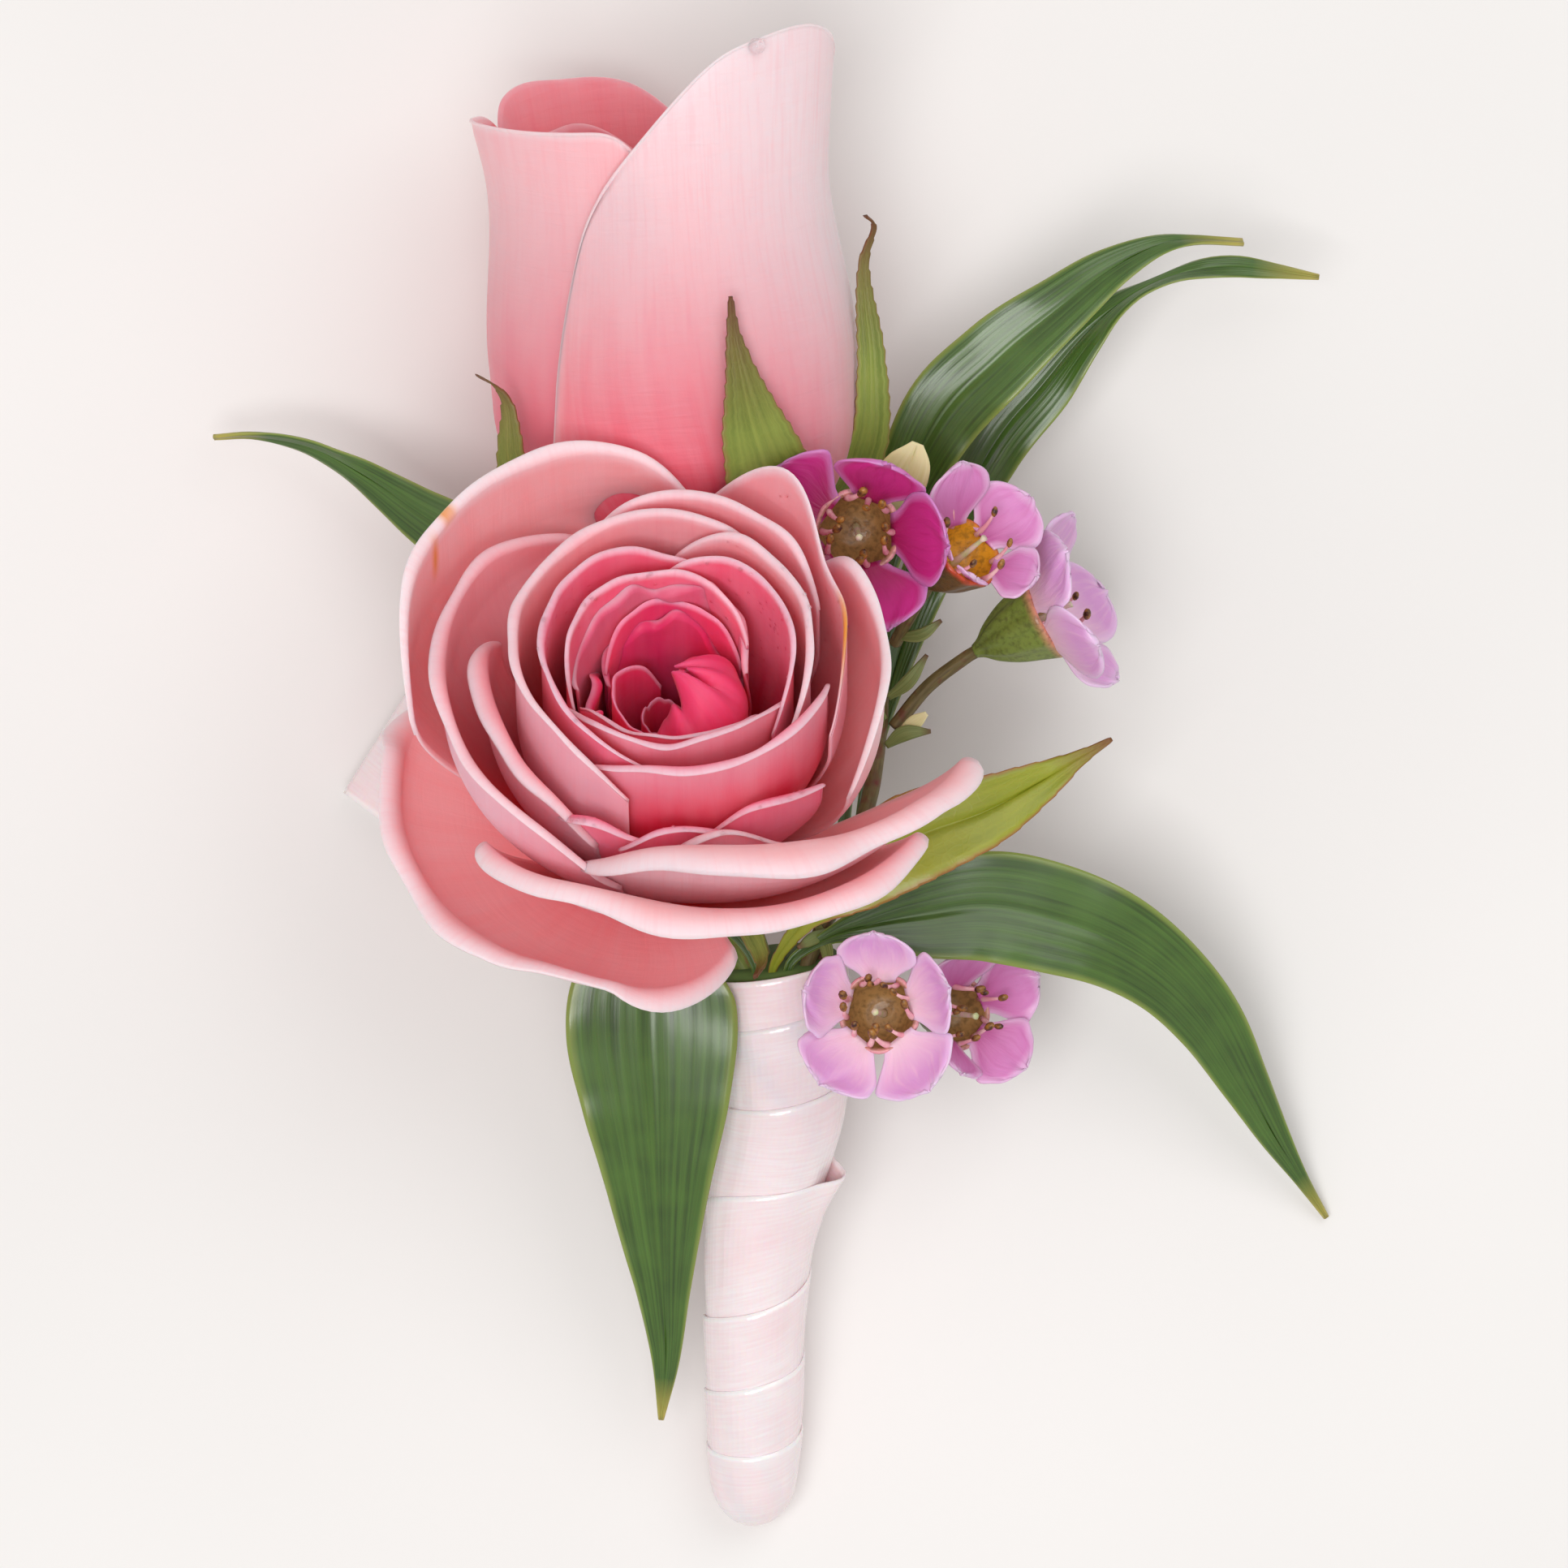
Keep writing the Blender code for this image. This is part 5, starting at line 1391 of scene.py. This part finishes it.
for k, (name, grown_as) in enumerate(WAX_FLOWERS.items()):
    centre, lean, first, petals, skin, cup, count, spread, size = grown_as
    base, axes = np.array(centre), flower_axes(lean, unit(first))
    wax_cup("wax_cup_" + name, base, axes, cup, ["wax_flower_" + name], size)
    wax_petals("wax_petal_" + name, base, axes, petals, skin, 90 + 6 * k, size)
    facing = Matrix([(*axis,) for axis in np.stack(axes).T * size]).to_4x4()
    facing.translation = Vector((base + SET_DOWN) * MM)
    for part, rings, look in (("filaments", FILAMENT, filament_skin), ("anthers", ANTHER, anther_skin)):
        grown_mesh = run_tree(
            template_of("stamen", bowed(rounded(rings, 8))), ring_tree, Count=count, Lean=spread,
            Wander=0.3, Seed=5 + k, Material=look, **{"Ring Radius": 2.85 * MM},
        )
        settle(f"wax_{part}_{name}", grown_mesh, facing, look)
    stations = [(*(base + axes[2] * height), radius) for height, radius in STYLE]
    rod("wax_style_" + name, stations, 12, 10, style_skin)
    foot = base - axes[2] * (WAX_DEPTH * size - 0.5)
    stations = ((*foot, WAX_STEMS[name][0][3]), *WAX_STEMS[name])
    rod(
        "wax_twig_" + name, stations, 12 * len(stations), 14, wax_bark, ["wax_stem_" + name],
        grain=0.06, seed=9 + k,
    )

cream_skin = leaf_skin("wax_bract_skin", "#DDD68A", "#F0EAB8", "#E9DFA0", "#F2E7B4", 0.7, 0.5, 1.4)
PALE_LEAF = (
    (9.9, 26.6, 24.4, 1.4, 0), (12.0, 29.6, 27.4, 5.0, 0),
    (13.6, 32.4, 28.6, 4.4, 0), (14.4, 34.4, 28.8, 1.2, 0),
)
WAX_BRACT = ((12.9, 6.0, 18.8, 0.8, 0), (14.2, 6.9, 19.2, 1.5, 0), (15.4, 7.8, 19.4, 0.5, 0))
leaf(
    "wax_pale_blade", PALE_LEAF, 40, cream_skin, "wax_stem", ["wax_leaf_pale"],
    groove=0.15, thickness=0.35, seed=61,
)
leaf(
    "wax_bract_blade", WAX_BRACT, 16, cream_skin, "wax_stem", ["wax_bract"],
    thickness=0.3, wave=0.05, seed=62,
)
# needle leaves on the twigs of the upper sprig
needle_skin = leaf_skin("wax_needle_skin", "#5E7034", "#93A060", "#7A7A4A", "#6A4A30", 0.8, 0.45, 1.4)
NEEDLES = (
    ((10.8, 12.0, 19.0, 0.7, 0), (9.6, 14.6, 20.6, 1.3, 0), (8.8, 17.2, 21.4, 0.4, 0)),
    ((11.6, 9.4, 19.0, 0.7, 0), (13.6, 11.0, 20.4, 1.4, 0), (15.4, 13.6, 21.0, 0.4, 0)),
    ((11.2, 7.2, 18.8, 0.7, 0), (9.4, 9.6, 20.2, 1.3, 0), (8.4, 12.2, 20.8, 0.4, 0)),
    ((11.4, 4.6, 18.8, 0.7, 0), (13.2, 5.8, 19.8, 1.6, 0), (15.8, 6.0, 20.2, 0.4, 0)),
    ((12.6, 15.4, 20.6, 0.7, 0), (14.8, 15.6, 22.0, 1.3, 0), (16.8, 17.0, 22.6, 0.4, 0)),
    ((4.6, -13.4, 22.4, 0.7, 0), (5.4, -15.6, 24.6, 1.3, 0), (5.6, -17.8, 26.0, 0.4, 0)),
    ((5.8, -13.8, 22.4, 0.7, 0), (4.0, -14.6, 24.8, 1.3, 0), (2.6, -15.4, 26.6, 0.4, 0)),
)
for k, stations in enumerate(NEEDLES):
    leaf(
        f"wax_needle_{k + 1}", stations, 20, needle_skin, "wax_stem",
        thickness=0.35, wave=0.08, seed=63 + k,
    )

# ---- The binding ----
# Floral tape holds the stems together. Pale pink double-faced satin ribbon, 15 mm wide, is wound down
# over it in overlapping turns that close over the cut ends. A loop of the same ribbon stands out at
# the left under the rose.

RIBBON_WIDTH = 15.0
RIBBON_THICKNESS = 0.22
# (centre, radius) down the wound handle, from its mouth to its closed end
HANDLE = (
    ((0.2, -16.5, 19.6), 7.3), ((0.9, -23.0, 18.0), 6.8), ((1.1, -31.0, 16.0), 6.2),
    ((-0.9, -41.0, 12.9), 5.6), ((-1.7, -52.0, 9.9), 5.1), ((-1.8, -63.0, 6.4), 4.8),
    ((-1.9, -71.5, 3.7), 4.1), ((-1.9, -74.6, 2.8), 3.2),
)


def satin_weave(name):
    """Satin: smooth long threads laid side by side, which give one bright sheen across them. Its two
    woven edges carry a painted highlight, a paler band where the seams catch the light.
    """
    made, tree, shader = new_material(
        name, Roughness=0.22, Sheen_Weight=0.1, Sheen_Roughness=0.3, Specular_IOR_Level=1.0,
        Subsurface_Weight=0.25, Subsurface_Scale=0.8 * MM,
    )
    lies = add_node(tree, "ShaderNodeUVMap", uv_map="unrolled_mm")
    # threads along the ribbon, drawn 0.3 mm apart so that they show
    laid = add_node(
        tree, "ShaderNodeMapping", {"Vector": lies.outputs["UV"], "Scale": (3.4, 0.22, 1.0)}
    )
    threads = add_node(
        tree, "ShaderNodeTexNoise", {"Vector": laid.outputs["Vector"], "Scale": 1.0, "Detail": 3.0}
    )
    tone = add_node(
        tree, "ShaderNodeValToRGB",
        {"Fac": threads.outputs["Fac"]}, stops=((0.3, "#FBE0E3"), (0.7, "#FDEBED")),
    )
    # softer and pinker patches where the layer below shows through
    deep = add_node(
        tree, "ShaderNodeTexNoise", {"Vector": lies.outputs["UV"], "Scale": 0.11, "Detail": 1.0}
    )
    through_it = add_node(
        tree, "ShaderNodeMapRange",
        {"Value": deep.outputs["Fac"], "From Min": 0.45, "From Max": 0.75, "To Max": 0.35},
    )
    patchy = add_node(
        tree, "ShaderNodeMix",
        {0: through_it.outputs["Result"], 6: tone.outputs["Color"], 7: linear("#F6C9CE")}, data_type="RGBA",
    )
    # a painted highlight: a pale band along each edge of the ribbon, where the seams catch the light
    split = add_node(tree, "ShaderNodeSeparateXYZ", {"Vector": lies.outputs["UV"]})
    off_centre = add_node(tree, "ShaderNodeMath", {0: split.outputs["X"], 1: 7.5}, operation="SUBTRACT")
    aside = add_node(tree, "ShaderNodeMath", {0: off_centre.outputs[0]}, operation="ABSOLUTE")
    edge_highlight = add_node(
        tree, "ShaderNodeMapRange",
        {"Value": aside.outputs[0], "From Min": 6.9, "From Max": 7.2, "To Max": 0.8},
    )
    edged = add_node(
        tree, "ShaderNodeMix",
        {0: edge_highlight.outputs["Result"], 6: patchy.outputs[2], 7: linear("#FFF6F6")}, data_type="RGBA",
    )
    # the crosswise weft, a faint rib every 0.6 mm
    weft = add_node(
        tree, "ShaderNodeTexWave", {"Vector": lies.outputs["UV"], "Scale": 0.52, "Distortion": 1.2},
        wave_type="BANDS", bands_direction="Y",
    )
    ribbed = add_node(
        tree, "ShaderNodeBump", {"Height": weft.outputs["Fac"], "Strength": 0.12, "Distance": 0.08 * MM}
    )
    relief = add_node(
        tree, "ShaderNodeBump",
        {
            "Height": threads.outputs["Fac"], "Strength": 0.18, "Distance": 0.06 * MM,
            "Normal": ribbed.outputs["Normal"],
        },
    )
    tree.links.new(edged.outputs[2], shader.inputs["Base Color"])
    tree.links.new(relief.outputs["Normal"], shader.inputs["Normal"])
    return made


satin = satin_weave("pale_pink_satin")
handle_line = dense_curve([(*centre, radius) for centre, radius in HANDLE])
handle_steps = run_along(handle_line[:, :3])
handle_right, handle_front = turned_along(handle_line[:, :3])
ROUNDING = 55.2  # where the wound end starts to close over the cut stems


def on_handle(far, angle, offset):
    """Points at a distance along the handle from its mouth, at an angle with 0 at the right and 90 in
    front, and this far off its surface. Past the rounding they close over its end.
    """
    held = np.minimum(far, ROUNDING)
    radius = np.interp(held, handle_steps, handle_line[:, 3])
    end = np.interp(ROUNDING, handle_steps, handle_line[:, 3])
    turn = np.clip((far - ROUNDING) / end, 0, 1.5)
    centre = held + 1.15 * end * np.sin(turn)
    out = ((radius + offset) * np.where(far > ROUNDING, np.cos(turn), 1.0))[..., None]
    middle, right, front = (
        np.stack([np.interp(centre, handle_steps, column) for column in values.T], -1)
        for values in (handle_line[:, :3], handle_right, handle_front)
    )
    angle = np.radians(angle)[..., None]
    return middle + out * (np.cos(angle) * right + np.sin(angle) * front)


# distances from the mouth of the upper edge of each turn where it crosses the front
WRAP_EDGES = (0.0, 5.0, 13.7, 22.8, 36.0, 43.6, 51.6)
turns = len(WRAP_EDGES)
wound = np.linspace(-0.25, turns - 0.6, 420)
upper = np.interp(wound, np.arange(turns), WRAP_EDGES)
upper = np.convolve(np.pad(upper, 12, mode="edge"), np.ones(25) / 25, mode="valid")
across = np.linspace(0, 1, 23)
far = np.maximum(upper[:, None] + across[None, :] * RIBBON_WIDTH, 0.15 * across[None, :])
angle = 90 + 360 * wound[:, None] + 0 * far
layer = -0.3 + 0.36 * (1 - across)[None, :] + 0.07 * waver(angle / 40 + far / 6, 3, 2.3)
# one turn's upper edge is folded out at the right
folded = np.exp(-(((wound[:, None] - 2.78) / 0.055) ** 2)) * (1 - across)[None, :] ** 2
layer = layer + 1.7 * folded
ribbon_grid = on_handle(far, angle, layer)
ribbon_run = run_along(ribbon_grid[:, 11])
ribbon_uv = unrolled(across * RIBBON_WIDTH, ribbon_run[:, None])
ribbon = sheet_piece(
    "satin_wrap", ribbon_grid, RIBBON_THICKNESS, ribbon_uv, satin, ["ribbon_wrap"]
)

# the loop, laid on itself and pinched narrow where it goes under the binding
LOOP = (
    (-6.6, -19.4, 13.4, 7.0), (-14.0, -12.6, 9.2, 11.0), (-26.0, -3.4, 6.4, 14.6), (-35.0, 3.0, 5.6, 15.0),
    (-38.4, 5.5, 4.5, 15.0), (-39.4, 6.2, 2.7, 15.0), (-38.4, 5.5, 1.1, 15.0), (-35.0, 3.0, 0.2, 15.0),
    (-26.0, -3.4, 0.4, 14.6), (-14.0, -12.2, 4.2, 11.0), (-6.9, -18.6, 11.6, 7.0),
)
spread = smooth_path(LOOP, 120)
across_loop = unit((0.53, 0.85, 0.0))
u = np.linspace(-0.5, 0.5, 25)
gathered = 0.35 * np.clip((12 - spread[:, 3]) / 5, 0, 1)[:, None] * np.cos(u * 6 * np.pi)[None, :]
loop_grid = spread[:, None, :3] + (u[None, :, None] * spread[:, None, 3:]) * across_loop
loop_grid = loop_grid + gathered[..., None] * np.array((0.0, 0.0, 1.0))
loop_run = run_along(loop_grid[:, 12])
loop_uv = unrolled((u + 0.5) * RIBBON_WIDTH, loop_run[:, None])
loop = sheet_piece("satin_loop", loop_grid, RIBBON_THICKNESS, loop_uv, satin, ["ribbon_loop"])

# the tape under the ribbon, a green sleeve that follows the stems to their cut ends
tape_skin = plain_skin("waxed_floral_tape", "#5C7A3A", "#48642E", 300.0, 0.7)
TAPE_UNDER = -0.95  # how far under the handle's own surface it lies
sleeve_far, sleeve_angle = np.meshgrid(
    np.linspace(0.3, ROUNDING + 4.0, 60), np.arange(0, 360, 7.5), indexing="ij"
)
sleeve_points, sleeve_faces = loft(on_handle(sleeve_far, sleeve_angle, TAPE_UNDER))
add_piece("tape_sleeve", sleeve_points, sleeve_faces, tape_skin, ["floral_tape"])

# ---- Dew ----
# Drops of water from the florist's spray lie on the inner petals and in the bowl of the rose, and one
# large one on the bud.

water, tree, shader = new_material(
    "water", Roughness=0.02, IOR=1.333, Transmission_Weight=1.0, Specular_IOR_Level=0.5
)
water_tint = add_node(tree, "ShaderNodeRGB")
water_tint.outputs[0].default_value = linear("#FFFFFF")
tree.links.new(water_tint.outputs[0], shader.inputs["Base Color"])


def drops_on():
    """A Geometry Nodes tree that scatters copies of a drop over its geometry, standing on its faces."""
    tree = bpy.data.node_groups.new("drops_on", "GeometryNodeTree")
    face = tree.interface
    face.new_socket("Geometry", in_out="INPUT", socket_type="NodeSocketGeometry")
    face.new_socket("Density", in_out="INPUT", socket_type="NodeSocketFloat")
    face.new_socket("Smallest", in_out="INPUT", socket_type="NodeSocketFloat")
    face.new_socket("Largest", in_out="INPUT", socket_type="NodeSocketFloat")
    face.new_socket("Seed", in_out="INPUT", socket_type="NodeSocketInt")
    face.new_socket("Material", in_out="INPUT", socket_type="NodeSocketMaterial")
    face.new_socket("Geometry", in_out="OUTPUT", socket_type="NodeSocketGeometry")
    given = tree.nodes.new("NodeGroupInput").outputs
    wet = add_node(tree, "GeometryNodeInputNamedAttribute", {"Name": "wet"}, data_type="FLOAT")
    thick = add_node(
        tree, "ShaderNodeMath", {0: wet.outputs[0], 1: given["Density"]}, operation="MULTIPLY"
    )
    points = add_node(
        tree, "GeometryNodeDistributePointsOnFaces",
        {"Mesh": given["Geometry"], "Density": thick.outputs[0], "Seed": given["Seed"]},
    )
    bead = add_node(tree, "GeometryNodeMeshUVSphere", {"Segments": 12, "Rings": 8, "Radius": 1.0})
    flat = add_node(
        tree, "GeometryNodeTransform", {"Geometry": bead.outputs["Mesh"], "Scale": (1.0, 1.0, 0.7)}
    )
    size = add_node(
        tree, "FunctionNodeRandomValue",
        {2: given["Smallest"], 3: given["Largest"], "Seed": given["Seed"]}, data_type="FLOAT",
    )
    copies = add_node(
        tree, "GeometryNodeInstanceOnPoints",
        {
            "Points": points.outputs["Points"], "Instance": flat.outputs[0],
            "Rotation": points.outputs["Rotation"], "Scale": size.outputs[1],
        },
    )
    real = add_node(tree, "GeometryNodeRealizeInstances", {"Geometry": copies.outputs[0]})
    coloured = add_node(
        tree, "GeometryNodeSetMaterial", {"Geometry": real.outputs[0], "Material": given["Material"]}
    )
    add_node(tree, "NodeGroupOutput", {0: coloured.outputs[0]})
    return tree


drop_tree = drops_on()
DROPS_PER_MM2 = 0.55  # where a petal is wettest
SMALLEST_DROP = 0.08  # radii
LARGEST_DROP = 0.26

# the petals with dew on their inner face: (centre across and along, size across and along)
WET = {
    "petal_rim_right": ((-0.1, 0.88), (0.9, 0.3)),
    "petal_ring_right": ((0.0, 0.85), (0.9, 0.35)),
    "petal_ring_left": ((0.1, 0.9), (0.9, 0.2)),
    "petal_crescent": ((0.0, 0.9), (0.8, 0.25)),
    "petaloid_low_left": ((0.0, 0.9), (1.2, 0.4)),
    "petaloid_low_middle": ((0.0, 0.9), (1.2, 0.4)),
    "petaloid_low_right": ((0.0, 0.9), (1.2, 0.4)),
    "petaloid_low_front": ((0.0, 0.9), (1.2, 0.4)),
    "petal_point_right": ((-0.2, 0.85), (0.8, 0.2)),
}
for k, (name, spot) in enumerate(WET.items()):
    grid, u, share = grown[name]
    rows, columns, _ = grid.shape
    index = np.arange(rows * columns).reshape(rows, columns)
    quads = np.stack([index[:-1, :-1], index[1:, :-1], index[1:, 1:], index[:-1, 1:]], -1).reshape(-1, 4)
    inward = unit(np.cross(np.gradient(grid, axis=0), np.gradient(grid, axis=1)))
    mesh = bpy.data.meshes.new("wet_face")
    mesh.from_pydata(((grid + inward * 0.12).reshape(-1, 3) + SET_DOWN) * MM, [], quads)
    wet = mesh.attributes.new("wet", "FLOAT", "POINT")
    wet.data.foreach_set("value", blob(u[None, :], share, *spot).astype(np.float32).reshape(-1))
    holder = bpy.data.objects.new("wet_face", mesh)
    bpy.context.scene.collection.objects.link(holder)
    drops = run_tree(
        holder, drop_tree, Density=DROPS_PER_MM2 / MM**2, Smallest=SMALLEST_DROP * MM,
        Largest=LARGEST_DROP * MM, Seed=3 + k, Material=water,
    )
    if len(drops.polygons):
        settle("dew_" + name, drops, Matrix(), water)

# the large drop that hangs at the top edge of the bud's front petal
grid, u, share = grown["bud_wrap_front"]
hangs = grid[-4, int(np.searchsorted(u, -0.06))] + (0.0, -0.6, 0.3)
drop_profile = (
    (0.12, -0.75), (0.55, -0.6), (0.8, -0.2), (0.82, 0.15), (0.6, 0.5), (0.25, 0.72), (0.06, 0.78),
)
drop_points, drop_faces = loft(dense_rings(rounded(drop_profile, 24)))
add_piece("dew_bud", drop_points + hangs, drop_faces, water)
